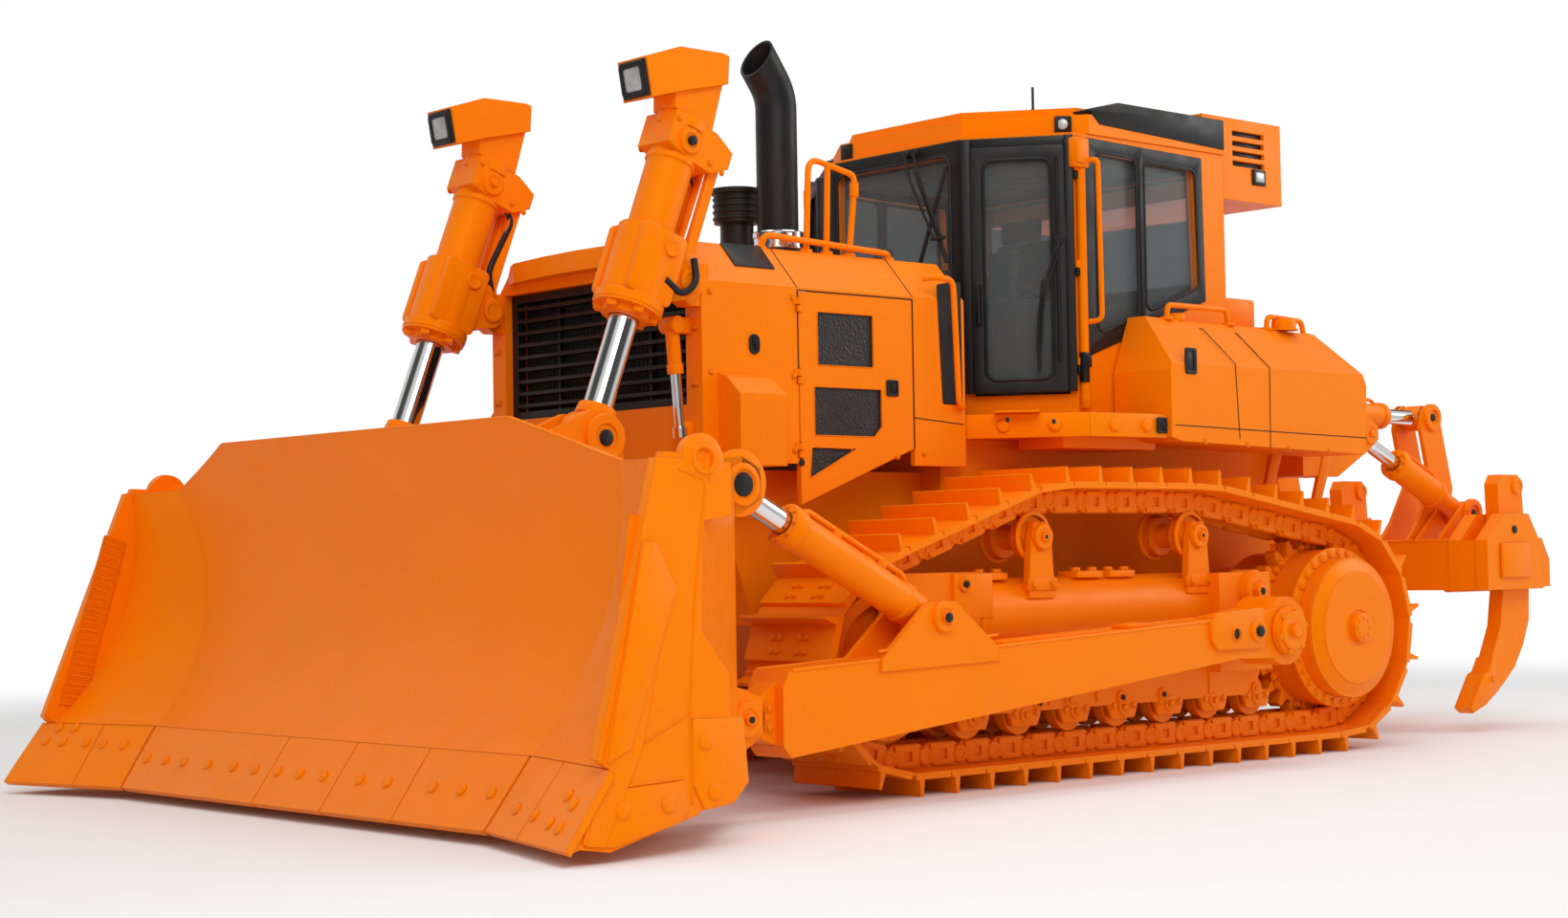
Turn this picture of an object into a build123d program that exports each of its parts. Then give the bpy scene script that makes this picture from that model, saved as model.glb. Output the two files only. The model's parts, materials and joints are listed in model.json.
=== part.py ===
from build123d import *
import math
import os

# Track-laying bulldozer with a semi-U blade on push arms and a parallelogram ripper.
# Millimetres.  +X forward, +Y the machine's left, +Z up, ground at z = 0.

# ---- driving dimensions ------------------------------------------------------------
TRACK_GAUGE = 2180          # between the track centre lines
SHOE_WIDTH = 560
LINK_PITCH = 228
LINK_OUT = 65               # pitch line to the inner face of a shoe
LINK_IN = 60                # pitch line to the rail's rolling face
SHOE_PLATE = 20
GROUSER = 75
PITCH_LOW = LINK_OUT + SHOE_PLATE + GROUSER     # height of the bottom pitch line
SPROCKET_X, SPROCKET_R = -1690, 494
IDLER_X, IDLER_R = 1580, 420
CARRIER_X, CARRIER_Z, CARRIER_R = (600, -570), 1150, 115
CARRIER_SLACK = 16          # sag of the chain's chord over a carrier roller
ROLLER_R, ROLLERS, ROLLER_X = 110, 7, (-1030, 1075)
ROLLER_Z = PITCH_LOW + LINK_IN + ROLLER_R

HULL_HALF = 560             # half width of the main frame between the tracks
TOW_R, TOW_THICK = 36, 50    # upright pin holes of the front and rear hitches
TOW_FRONT, TOW_REAR = (2010, 700), (-2260, 640)
DECK_Z = 1750               # top of the platform
DECK_THICK = 110

HOOD_FRONT, HOOD_REAR = 2290, 620
HOOD_HALF = 800
HOOD_TOP, HOOD_LOW = 2530, 1500
HOOD_CREST = 2386           # middle of the nose lip
GRILLE_HALF = 690
DOOR_FRONT_X, DOOR_REAR_X = 1715, 973           # engine side door
DOOR_HINGE, KNUCKLE = (1712, 806), 11           # its upright hinge axis (x, y), knuckle radius
KNUCKLE_Z = (1560, 1900, 2230)                  # middles of the hinges, each two knuckles high
PANEL = 30                  # thickness of hood panels and doors

CAB_FRONT, CAB_SIDE_X, CAB_REAR = 300, -40, -1240
CAB_NOSE_HALF, CAB_HALF = 500, 950
CAB_FLOOR, CAB_TOP, ROOF_TOP = 1860, 3190, 3340
CAB_WALL = 60
CAB_HINGE_Z, CAB_KNUCKLE = (2010, 2500, 2990), 13     # middles of the door hinges, knuckle radius

ARM_PIVOT = (-756, 668)     # trunnion of the push arms, x and z
ARM_Y, ARM_WIDTH = 1540, 220
BLADE_PIN = (2790, 420)     # ball joints at the arms' front ends
EAR_PIN = (2790, 1366)      # rod eye of the tilt cylinders
BRACE_PIN = (1680, 800)     # foot of the tilt cylinders, on the arms
LIFT_PIN = (2890, 1590)     # rod eye of the lift cylinders
LIFT_COLLAR = (2570, 2420)          # on the cylinder's axis, at the middle of its collar
LIFT_PIVOT = (2390, 2290)           # pin of the collar on the nose
LIFT_Y = 750

MOULD_CENTRE, MOULD_R = (4443.6, 1079.4), 1020      # arc of the mouldboard, side view
MOULD_LOW, MOULD_HIGH = 227.26, 146.3               # its ends, degrees
MOULD_THICK = 32
EDGE_FOOT, EDGE_HEAD = (3947, 58), (3752, 331)      # front face of the cutting edges, centre section
EDGE_THICK, WING_EDGE_THICK, EDGE_GAP = 35, 31, 0.5
CREASE_GAP = 8                # the centre edges stop short of the creases
EDGE_RISE = math.dist(EDGE_FOOT, EDGE_HEAD)
CREASE_POINT, CREASE_NORMAL = (3752, 1500, 331), (-0.184, 1, -0.257)
WING_RUN = 0.272                                    # forward per unit outward
END_Y, END_LEAN = 2250, 6                           # end plate at the ground, degrees inward
END_THICK = 45
BLADE_OUTLINE = [(2400, 0), (2400, 1436), (1736, 1450), (1128, 1650)]    # half, from the front
BEAM_REAR = 3130                                    # rear face of the blade's box beams

LINK_HULL_PIN = (-2180, 900)       # ripper parallelogram
LINK_BEAM_PIN = (-3150, 888)
TOP_HULL_PIN = (-2590, 1870)
TOP_MAST_PIN = (-3560, 1858)
RAM_HULL_PIN = (-2640, 1730)
RAM_BEAM_PIN = (-3670, 1275)
LINK_Y, MAST_Y, RAM_Y = 450, 560, 770
SHANK_Y = (1100, 0, -1100)
REACH = 4160                # half of the length over all


# ---- helpers -----------------------------------------------------------------------
def block(x0, x1, y0, y1, z0, z1):
    """A box between two corners."""
    return Pos((x0 + x1) / 2, (y0 + y1) / 2, (z0 + z1) / 2) * Box(x1 - x0, y1 - y0, z1 - z0)


def plate(points, y0, y1):
    """A side-view outline of (x, z) points, from y0 to y1."""
    outline = Plane.XZ.offset(-y0) * Polygon(*points, align=None)
    return extrude(outline, amount=y1 - y0, dir=(0, 1, 0))


def plan(points, z0, z1):
    """A top-view outline of (x, y) points, from z0 to z1."""
    outline = Plane.XY.offset(z0) * Polygon(*points, align=None)
    return extrude(outline, amount=z1 - z0, dir=(0, 0, 1))


def drum(x, z, radius, y0, y1, bore=0):
    """A cylinder or ring whose axis is parallel to Y."""
    body = Pos(x, (y0 + y1) / 2, z) * Rot(90, 0, 0) * Cylinder(radius, y1 - y0)
    if bore:
        body -= Pos(x, (y0 + y1) / 2, z) * Rot(90, 0, 0) * Cylinder(bore, y1 - y0 + 20)
    return body


def bar(start, end, radius, bore=0):
    """A round bar or tube between two points."""
    start, end = Vector(*start), Vector(*end)
    plane = Plane(origin=start, z_dir=end - start)
    section = Circle(radius) - Circle(bore) if bore else Circle(radius)
    return extrude(plane * section, amount=(end - start).length)


def mirrored(body):
    """The same piece on the other side of the machine."""
    return mirror(body, about=Plane.XZ)


def along(start, end, distance):
    """The (x, z) point at a distance from start towards end."""
    length = math.dist(start, end)
    return tuple(a + (b - a) * distance / length for a, b in zip(start, end))


def across(start, end, distance, offset):
    """Like along, then an offset square to the line (clockwise seen from -Y)."""
    x, z = along(start, end, distance)
    length = math.dist(start, end)
    return (x - offset * (end[1] - start[1]) / length, z + offset * (end[0] - start[0]) / length)


def at_y(point, y):
    return (point[0], y, point[1])


def front_view(points, x0, x1):
    """A front-view outline of (y, z) points, from x0 to x1."""
    outline = Plane(origin=(x0, 0, 0), x_dir=(0, 1, 0), z_dir=(1, 0, 0)) * Polygon(*points, align=None)
    return extrude(outline, amount=x1 - x0, dir=(1, 0, 0))


def prism(x, z, radius, sides, y0, y1):
    """An even-sided bar whose axis is parallel to Y."""
    step = 2 * math.pi / sides
    corners = [(x + radius * math.cos(i * step), z + radius * math.sin(i * step)) for i in range(sides)]
    return plate(corners, y0, y1)


def upright(x, y, radius, z0, z1):
    """An upright round bar."""
    return Pos(x, y, (z0 + z1) / 2) * Cylinder(radius, z1 - z0)


# ---- tracks ------------------------------------------------------------------------
def belt(wheels):
    """Lines and arcs of a belt round wheels (x, z, radius), listed clockwise."""
    pieces = []
    count = len(wheels)
    touches = []
    for i in range(count):
        ax, az, ar = wheels[i]
        bx, bz, br = wheels[(i + 1) % count]
        span = math.dist((ax, az), (bx, bz))
        heading = math.atan2(bz - az, bx - ax) + math.asin((br - ar) / span)
        normal = heading + math.pi / 2
        leave = (ax + ar * math.cos(normal), az + ar * math.sin(normal))
        meet = (bx + br * math.cos(normal), bz + br * math.sin(normal))
        touches.append((leave, meet, normal))
    for i in range(count):
        leave, meet, normal = touches[i]
        nx, nz, radius = wheels[(i + 1) % count]
        turn = (normal - touches[(i + 1) % count][2]) % (2 * math.pi)
        pieces.append(("line", leave, meet, math.dist(leave, meet)))
        pieces.append(("arc", (nx, nz), (radius, normal), radius * turn))
    return pieces


def belt_points(wheels, pitch):
    """Evenly spaced joints of the chain along the belt."""
    pieces = belt(wheels)
    total = sum(piece[3] for piece in pieces)
    count = round(total / pitch)
    points = []
    for i in range(count):
        distance = total * i / count
        for kind, first, second, length in pieces:
            if distance <= length:
                break
            distance -= length
        if kind == "line":
            points.append(along(first, second, distance))
        else:
            radius, start = second
            angle = start - distance / radius
            points.append((first[0] + radius * math.cos(angle), first[1] + radius * math.sin(angle)))
    return points


def chain_outline(points, shape):
    """The shape, given as (along, outward) steps, repeated on every link of a clockwise chain."""
    outline = []
    for start, end in zip(points, points[1:] + points[:1]):
        length = math.dist(start, end)
        ux, uz = (end[0] - start[0]) / length, (end[1] - start[1]) / length
        for s, n in shape:
            outline.append((start[0] + ux * s * length - uz * n, start[1] + uz * s * length + ux * n))
    return outline


def track():
    """Left track: two link rails and the shoes with their grousers, one closed loop."""
    carrier = CARRIER_R + LINK_IN
    wheels = [(SPROCKET_X, PITCH_LOW + SPROCKET_R, SPROCKET_R),
              (CARRIER_X[1], CARRIER_Z, carrier), (CARRIER_X[0], CARRIER_Z, carrier),
              (IDLER_X, PITCH_LOW + IDLER_R, IDLER_R)]
    joints = belt_points(wheels, LINK_PITCH)
    face, tip = LINK_OUT + SHOE_PLATE, LINK_OUT + SHOE_PLATE + GROUSER
    shoe = [(0.01, LINK_OUT), (0.02, face), (0.10, face), (0.14, tip), (0.21, tip), (0.25, face),
            (0.98, face), (0.99, LINK_OUT)]
    rail = [(0.0, -0.7 * LINK_IN), (0.15, -LINK_IN), (0.85, -LINK_IN)]
    centre = TRACK_GAUGE / 2
    low, high = centre - SHOE_WIDTH / 2, centre + SHOE_WIDTH / 2
    inner = chain_outline(joints, [(0.0, LINK_OUT - 12)])
    body = plate(chain_outline(joints, shoe), low, high) - plate(inner, low - 1, high + 1)
    for y in (centre - 105, centre + 65):
        body += plate(chain_outline(joints, [(0.0, LINK_OUT - 6)]), y, y + 40) \
            - plate(chain_outline(joints, rail), y - 1, y + 41)
    return body


def running_wheels():
    """Left idler, track rollers and carrier rollers with their axles."""
    centre = TRACK_GAUGE / 2
    idler_z = PITCH_LOW + IDLER_R
    idler_r = IDLER_R * math.cos(LINK_PITCH / IDLER_R / 2) - LINK_IN - 6
    idler = drum(IDLER_X, idler_z, idler_r, centre - 110, centre + 110)
    idler += drum(IDLER_X, idler_z, idler_r + 25, centre - 55, centre + 55)
    for side in (-1, 1):
        idler -= drum(IDLER_X, idler_z, idler_r - 60, centre + side * 95 - 30, centre + side * 95 + 30)
    idler += drum(IDLER_X, idler_z, 80, centre - 129, centre + 129)
    wheels = [idler]
    spacing = (ROLLER_X[1] - ROLLER_X[0]) / (ROLLERS - 1)
    for i in range(ROLLERS):
        x = ROLLER_X[0] + i * spacing
        roller = drum(x, ROLLER_Z, ROLLER_R - 1, centre - 115, centre - 58)
        roller += drum(x, ROLLER_Z, ROLLER_R - 1, centre + 58, centre + 115)
        roller += prism(x, ROLLER_Z, ROLLER_R - 28, 16, centre - 60, centre + 60)
        wheels.append(roller + prism(x, ROLLER_Z, 38, 8, centre - 128, centre + 128))
    for x in CARRIER_X:
        tread = CARRIER_R - CARRIER_SLACK
        roller = drum(x, CARRIER_Z, tread, centre - 110, centre - 58)
        roller += drum(x, CARRIER_Z, tread, centre + 58, centre + 110)
        roller += drum(x, CARRIER_Z, 60, centre - 112, centre + 128)
        wheels.append(roller + prism(x, CARRIER_Z, 82, 6, centre + 105, centre + 122))
    return Compound(children=wheels)


def track_frame():
    """Left track frame: box beam, recoil tube, idler fork, guards, carrier brackets, trunnion."""
    centre = TRACK_GAUGE / 2
    low, high = centre - 130, centre + 130
    beam = plate([(-1060, 480), (-1000, 445), (1150, 445), (1150, 700), (560, 760), (-1060, 760)],
                 centre - 128, centre + 128)
    for y in (centre - 165, centre + 130):
        beam += plate([(-1000, 330), (-1060, 460), (-1060, 640), (1150, 640), (1180, 400), (1130, 330)],
                      y, y + 35)
        beam += block(-1060, 1150, min(y, centre), max(y + 35, centre), 500, 600)
    tube_z = 790
    beam += bar((-700, centre, tube_z), (1020, centre, tube_z - 10), 175)
    fork = [(1010, 480), (1480, 480), (1640, 560), (1640, 960), (1560, 990), (1010, 990)]
    beam += plate(fork, centre + 130, centre + 170) + plate(fork, centre - 170, centre - 130)
    beam += block(1010, 1120, centre - 170, centre + 170, 520, 975)
    beam += block(-1060, -640, high, high + 110, 460, 960)
    beam += drum(ARM_PIVOT[0], ARM_PIVOT[1], 95, high + 100, ARM_Y - ARM_WIDTH / 2 - 6)
    beam += drum(ARM_PIVOT[0], ARM_PIVOT[1], 78, high + 100, ARM_Y + ARM_WIDTH / 2 + 30)
    beam += drum(ARM_PIVOT[0], ARM_PIVOT[1], 120, ARM_Y + ARM_WIDTH / 2 + 6, ARM_Y + ARM_WIDTH / 2 + 40)
    beam += drum(-910, 862, 110, high, high + 130)
    for x in CARRIER_X:
        beam += plate([(x - 90, 900), (x - 70, CARRIER_Z), (x - 45, CARRIER_Z + 70), (x + 45, CARRIER_Z + 70),
                       (x + 70, CARRIER_Z), (x + 90, 900)], high + 0.5, high + 40)
        beam += block(x - 90, x + 90, centre + 60, high + 40, 860, 935)
    return beam


def final_drive():
    """Left sprocket with its teeth between the rails, and the round final-drive housing."""
    centre = TRACK_GAUGE / 2
    z = PITCH_LOW + SPROCKET_R
    teeth = 27
    profile = []
    for i in range(teeth):
        for offset, radius in ((-0.32, SPROCKET_R - 55), (-0.13, SPROCKET_R + 10), (0.13, SPROCKET_R + 10),
                               (0.32, SPROCKET_R - 55)):
            angle = 2 * math.pi * (i + offset) / teeth
            profile.append((SPROCKET_X + radius * math.cos(angle), z + radius * math.sin(angle)))
    body = plate(profile, centre - 35, centre + 35)
    body += drum(SPROCKET_X, z, 415, centre + 30, centre + 210)
    body += drum(SPROCKET_X, z, 370, centre + 200, centre + 300)
    body += drum(SPROCKET_X, z, 300, centre + 290, centre + 330)
    body += drum(SPROCKET_X, z, 75, centre + 320, centre + 365)
    body += drum(SPROCKET_X, z, 400, centre - 300, centre - 30)
    body += drum(SPROCKET_X, z, 330, HULL_HALF, centre - 290)
    return body


# ---- hull --------------------------------------------------------------------------
def hitch(pin, root):
    """Level towing tongue from a root x to its rounded end, with an upright pin hole."""
    x, z = pin
    tongue = block(min(x, root), max(x, root), -110, 110, z - TOW_THICK / 2, z + TOW_THICK / 2)
    tongue += Pos(x, 0, z) * Cylinder(110, TOW_THICK)
    return tongue - Pos(x, 0, z) * Cylinder(TOW_R, TOW_THICK + 10)


def main_frame():
    """Belly frame between the tracks, its cross shafts, and the step that carries the cab."""
    hull = plate([(-2080, 620), (-1900, 480), (1450, 480), (1800, 760), (1950, 1180), (1950, 1480),
                  (-1950, 1480), (-2080, 1300)], -HULL_HALF, HULL_HALF)
    hull += plate([(-1950, 1380), (700, 1380), (700, DECK_Z - DECK_THICK), (-1950, DECK_Z - DECK_THICK)],
                  -700, 700)
    reach = TRACK_GAUGE / 2 - 172
    hull += drum(-910, 862, 100, -reach, reach)
    hull += block(1150, 1300, -reach, reach, 560, 690)
    return hull + hitch(TOW_FRONT, 1600)


def ripper_base():
    """Rear bracket of the hull with the clevises of the ripper's links and cylinders."""
    body = block(-2120, -1950, -900, 900, 1480, 1640) + block(-2095, -2080, -550, 550, 660, 1290)
    high = [(-2000, 1480), (-2000, 1640), (-2300, 1960), (-2590, 1960), (-2680, 1900), (-2680, 1820),
            (-2330, 1480)]
    low = [(-2090, 760), (-2090, 1040), (-2200, 990), (-2270, 930), (-2270, 870), (-2200, 800)]
    ram = [(-2000, 1480), (-2000, 1640), (-2560, 1840), (-2660, 1820), (-2730, 1770), (-2730, 1700),
           (-2640, 1640), (-2330, 1480)]
    for side in (-1, 1):
        for outline, centre, gap, thick in ((high, MAST_Y, 80, 25), (low, LINK_Y, 66, 30),
                                            (ram, RAM_Y, 62, 28)):
            y = side * centre
            body += plate(outline, y - gap - thick, y - gap) + plate(outline, y + gap, y + gap + thick)
        y = side * LINK_Y
        body += drum(*LINK_HULL_PIN, 49, y - 96, y + 96)
        y = side * MAST_Y
        body += drum(*TOP_HULL_PIN, 39, y - 105, y + 105)
    return body + hitch(TOW_REAR, -2080)


def engine():
    """Closed engine: one plain block with its sump."""
    return block(900, 1900, -330, 330, 1490, 2250)


def hood():
    """Hood shell: nose frame with its lip, top and the fixed corners, open at the sides for the doors."""
    half = HOOD_HALF
    section = [(-half, HOOD_LOW), (-half, 2310), (-620, HOOD_TOP - 22), (-450, HOOD_TOP), (450, HOOD_TOP),
               (620, HOOD_TOP - 22), (half, 2310), (half, HOOD_LOW)]
    inner = [(-half + PANEL, HOOD_LOW - 10), (-half + PANEL, 2300), (-610, HOOD_TOP - 56),
             (-450, HOOD_TOP - PANEL), (450, HOOD_TOP - PANEL), (610, HOOD_TOP - 56), (half - PANEL, 2300),
             (half - PANEL, HOOD_LOW - 10)]
    shell = front_view(section, HOOD_REAR, HOOD_FRONT) - front_view(inner, HOOD_REAR - 10, HOOD_FRONT - 60)
    shell -= block(HOOD_FRONT - 100, HOOD_FRONT + 10, -GRILLE_HALF, GRILLE_HALF, 1760, 2370)
    lip = [(HOOD_FRONT - 10, -690), (HOOD_FRONT + 40, -560), (HOOD_CREST - 15, -260), (HOOD_CREST, 0),
           (HOOD_CREST - 15, 260), (HOOD_FRONT + 40, 560), (HOOD_FRONT - 10, 690)]
    shell += plan(lip, HOOD_TOP - 110, HOOD_TOP - 14) & front_view(section, HOOD_FRONT - 20, HOOD_CREST + 10)
    box = [(half - 5, 1480), (half - 5, 1900), (half + 60, 1880), (half + 150, 1800), (half + 150, 1480)]
    lug = [(HOOD_FRONT - 50, 2190), (HOOD_FRONT - 50, 2380), (HOOD_FRONT + 60, 2380), (2432, 2330),
           (2432, 2250), (HOOD_FRONT + 60, 2190)]
    for side in (-1, 1):
        shell -= block(DOOR_REAR_X, DOOR_FRONT_X, side * half - 60, side * half + 60, HOOD_LOW - 20, 2300)
        shell += front_view([(side * y, z) for y, z in box], 1925, 2200)
        y = side * LIFT_Y
        shell += plate(lug, y - 45, y + 45) + drum(*LIFT_PIVOT, 39, y - 100, y + 100)
        for z in KNUCKLE_Z:
            shell -= upright(DOOR_HINGE[0], side * DOOR_HINGE[1], KNUCKLE + 4, z - 35, z)
            shell += upright(DOOR_HINGE[0], side * DOOR_HINGE[1], KNUCKLE, z + 2, z + 35)
            shell += block(DOOR_HINGE[0], DOOR_HINGE[0] + 30, side * (half - 2) - 4, side * (half - 2) + 8,
                           z + 2, z + 35)
    return shell


def grille():
    """Radiator grille: frame, level bars and upright dividers."""
    x0, x1 = HOOD_FRONT - 90, HOOD_FRONT - 40
    half = GRILLE_HALF - 2
    body = block(x0, x1, -half, half, 1762, 2368) - block(x0 - 5, x1 + 5, 40 - half, half - 40, 1800, 2330)
    for i in range(9):
        z = 1800 + (i + 0.5) * 530 / 9
        body += block(x0, x1, 30 - half, half - 30, z - 9, z + 9)
    for y in (-350, 0, 350):
        body += block(x0, x0 + 20, y - 8, y + 8, 1790, 2340)
    return body


def side_door():
    """Left engine side door with its three mesh windows."""
    gap = 6
    rear, front, top = DOOR_REAR_X + gap, DOOR_FRONT_X - gap, 2300 - gap
    door = plate([(rear, 1580), (front, 1310), (front, top), (rear, top)], HOOD_HALF - PANEL, HOOD_HALF)
    windows = ([(1236, 1957), (1594, 1957), (1594, 2206), (1236, 2206)],
               [(1187, 1680), (1236, 1631), (1620, 1631), (1620, 1858), (1187, 1858)],
               [(1354, 1574), (1639, 1578), (1654, 1432)])
    for outline in windows:
        door -= plate(outline, HOOD_HALF - 12, HOOD_HALF + 5)
    for z in KNUCKLE_Z:
        door -= upright(*DOOR_HINGE, KNUCKLE + 4, z, z + 39)
        door += upright(*DOOR_HINGE, KNUCKLE, z - 33, z - 2)
        door += block(DOOR_HINGE[0] - 30, DOOR_HINGE[0], HOOD_HALF - 6, HOOD_HALF + 6, z - 33, z - 2)
    return door


def exhaust():
    """Exhaust stack: clamp collar, bent pipe and its open slanted outlet."""
    x, y, tip = 1380, 300, (1590, 300, 3600)
    path = FilletPolyline((x, y, HOOD_TOP + 60), (x, y, 3310), tip, radius=220)
    pipe = sweep(Plane(origin=path @ 0, z_dir=path % 0) * Circle(100), path=path)
    mouth = (1500, y, 3478)
    run = Vector(*tip) - Vector(x, y, 3310)
    pipe -= bar(tuple(Vector(*mouth) - run * 0.45), tuple(Vector(*mouth) + run), 90)
    pipe = split(pipe, bisect_by=Plane(origin=mouth, z_dir=(0.85, 0, 0.5)), keep=Keep.BOTTOM)
    return pipe + Pos(x, y, HOOD_TOP + 43) * Cylinder(122, 84)


def pre_cleaner():
    """Air pre-cleaner: stem, bowl and cap."""
    x, y = 1400, 20
    body = Pos(x, y, HOOD_TOP + 113) * Cylinder(82, 224) + Pos(x, y, 2790) * Cylinder(112, 150)
    return body + Pos(x, y, 2872) * Cylinder(125, 26)


# ---- cab and deck ------------------------------------------------------------------
def cab_plan(inset=0):
    """Top view of the cab: flat nose, two angled door faces, sides and rear."""
    nose, half = CAB_NOSE_HALF - inset * 0.6, CAB_HALF - inset
    front, rear = CAB_FRONT - inset, CAB_REAR + inset
    side = CAB_SIDE_X - inset * 0.4
    return [(front, nose), (side, half), (rear, half), (rear, -half), (side, -half), (front, -nose)]


def cab_frame():
    """Cab shell with its windows and both door openings cut."""
    cab = plan(cab_plan(), DECK_Z + 1, CAB_TOP) - plan(cab_plan(CAB_WALL), CAB_FLOOR, CAB_TOP - 40)
    cab -= block(CAB_FRONT - 120, CAB_FRONT + 20, -430, 430, 1960, 3120)
    cab -= block(CAB_REAR - 20, CAB_REAR + 120, -780, 780, 2500, 3100)
    for side in (-1, 1):
        cab -= plate([(-190, 2150), (-1020, 2450), (-1000, 3090), (-200, 3110)],
                     min(side * 850, side * 1000), max(side * 850, side * 1000))
    cab -= door_cut(1) + door_cut(-1)
    x, y = door_hinge()
    for side in (-1, 1):
        for z in CAB_HINGE_Z:
            cab += upright(x, side * y, CAB_KNUCKLE, z + 2, z + 40)
            cab += block(x - 50, x, side * y - 14, side * y, z + 2, z + 40)
    return cab


def door_hinge():
    """The upright hinge axis (x, y) of the left cab door, just outside its rear edge."""
    run_x, run_y = CAB_FRONT - CAB_SIDE_X, CAB_NOSE_HALF - CAB_HALF
    run = math.hypot(run_x, run_y)
    run_x, run_y = run_x / run * 10, run_y / run * 10
    return CAB_SIDE_X - run_x - run_y, CAB_HALF - run_y + run_x


def door_cut(side):
    """The door opening in the angled face, as a block across the wall."""
    mid = ((CAB_FRONT + CAB_SIDE_X) / 2, (CAB_NOSE_HALF + CAB_HALF) / 2)
    run = math.dist((CAB_FRONT, CAB_NOSE_HALF), (CAB_SIDE_X, CAB_HALF))
    angle = math.degrees(math.atan2(CAB_HALF - CAB_NOSE_HALF, CAB_SIDE_X - CAB_FRONT))
    cut = Pos(mid[0], mid[1], 2500) * Rot(0, 0, angle) * Box(run - 80, 300, 2 * (3130 - 2500))
    return cut if side > 0 else mirrored(cut)


def cab_door():
    """Left cab door: a framed leaf in the angled face, open for its glass."""
    mid = ((CAB_FRONT + CAB_SIDE_X) / 2, (CAB_NOSE_HALF + CAB_HALF) / 2)
    run = math.dist((CAB_FRONT, CAB_NOSE_HALF), (CAB_SIDE_X, CAB_HALF)) - 96
    angle = math.degrees(math.atan2(CAB_HALF - CAB_NOSE_HALF, CAB_SIDE_X - CAB_FRONT))
    frame = Box(run, 45, 1240) - Box(run - 120, 60, 1120)
    door = Pos(mid[0], mid[1], 2500) * Rot(0, 0, angle) * Pos(0, -24, 0) * frame
    x, y = door_hinge()
    for z in CAB_HINGE_Z:
        door += upright(x, y, CAB_KNUCKLE, z - 38, z - 2)
        strap = Pos(x, y, z - 20) * Rot(0, 0, angle) * Pos(-55, 0, 0) * Box(110, 12, 36)
        door += strap
    return door


def door_glass():
    """Glass of the left cab door."""
    mid = ((CAB_FRONT + CAB_SIDE_X) / 2, (CAB_NOSE_HALF + CAB_HALF) / 2)
    run = math.dist((CAB_FRONT, CAB_NOSE_HALF), (CAB_SIDE_X, CAB_HALF)) - 96
    angle = math.degrees(math.atan2(CAB_HALF - CAB_NOSE_HALF, CAB_SIDE_X - CAB_FRONT))
    return Pos(mid[0], mid[1], 2500) * Rot(0, 0, angle) * Pos(0, -24, 0) * Box(run - 120, 8, 1120)


def cab_glass():
    """Fixed panes: windscreen, sides and rear."""
    panes = [block(CAB_FRONT - 34, CAB_FRONT - 26, -430, 430, 1960, 3120),
             block(CAB_REAR + 26, CAB_REAR + 34, -780, 780, 2500, 3100)]
    for side in (-1, 1):
        y = side * (CAB_HALF - 30)
        panes.append(plate([(-190, 2150), (-1020, 2450), (-1000, 3090), (-200, 3110)], y - 4, y + 4))
    return Compound(children=panes)


def cab_roof():
    """Roof with its visor edge."""
    rim = [(250, 450), (-150, 960), (CAB_REAR - 10, 960), (CAB_REAR - 10, -960), (-150, -960), (250, -450)]
    roof = plan(rim, CAB_TOP, 3290)
    top = [(x * 0.93 - 30, y * 0.9) for x, y in rim]
    return roof + plan(top, 3285, ROOF_TOP)


def roof_cover():
    """Low cover on the rear of the roof, over the air ducts."""
    low, high = ROOF_TOP + 0.5, 3440
    return plate([(-620, low), (-700, high), (CAB_REAR - 10, high), (CAB_REAR - 10, low)], -560, 560)


def cooling_unit():
    """Air-conditioning box behind the cab roof, with four louvre slots in each side."""
    rear, front = -1950, CAB_REAR - 20
    box = block(rear, front, -800, 800, 2990, 3440)
    for side in (-1, 1):
        for i in range(4):
            z = 3180 + 55 * i
            box -= block(rear + 150, front - 260, side * 800 - 25, side * 800 + 25, z, z + 30)
    return box


def seat():
    """Driver's seat: cushion, back and pedestal."""
    return block(-620, -120, -260, 260, 2180, 2300) + block(-700, -590, -250, 250, 2250, 2920) \
        + block(-520, -220, -160, 160, CAB_FLOOR, 2190)


def console():
    """Instrument stand and the two side consoles."""
    return block(60, 200, -180, 180, CAB_FLOOR, 2520) + block(-640, -100, 310, 480, CAB_FLOOR, 2360) \
        + block(-640, -100, -480, -310, CAB_FLOOR, 2360)


def platform():
    """Left deck from the hood's rear to the tank, with the folded front edge."""
    outline = [(HOOD_REAR - 5, 790), (230, 1250), (-290, 1300), (-290, 560), (HOOD_REAR - 5, 560)]
    return plan(outline, DECK_Z - DECK_THICK, DECK_Z)


def side_tank():
    """Left rear tank box with its sloped upper side."""
    box = plate([(-380, 1620), (-1930, 1580), (-1950, 1950), (-1800, 2240), (-420, 2270), (-300, 1980),
                 (-300, 1640)], 960, 1330)
    box -= Pos(-1100, 1330, 2280) * Rot(45, 0, 0) * Box(2400, 380, 380)
    return box


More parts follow.
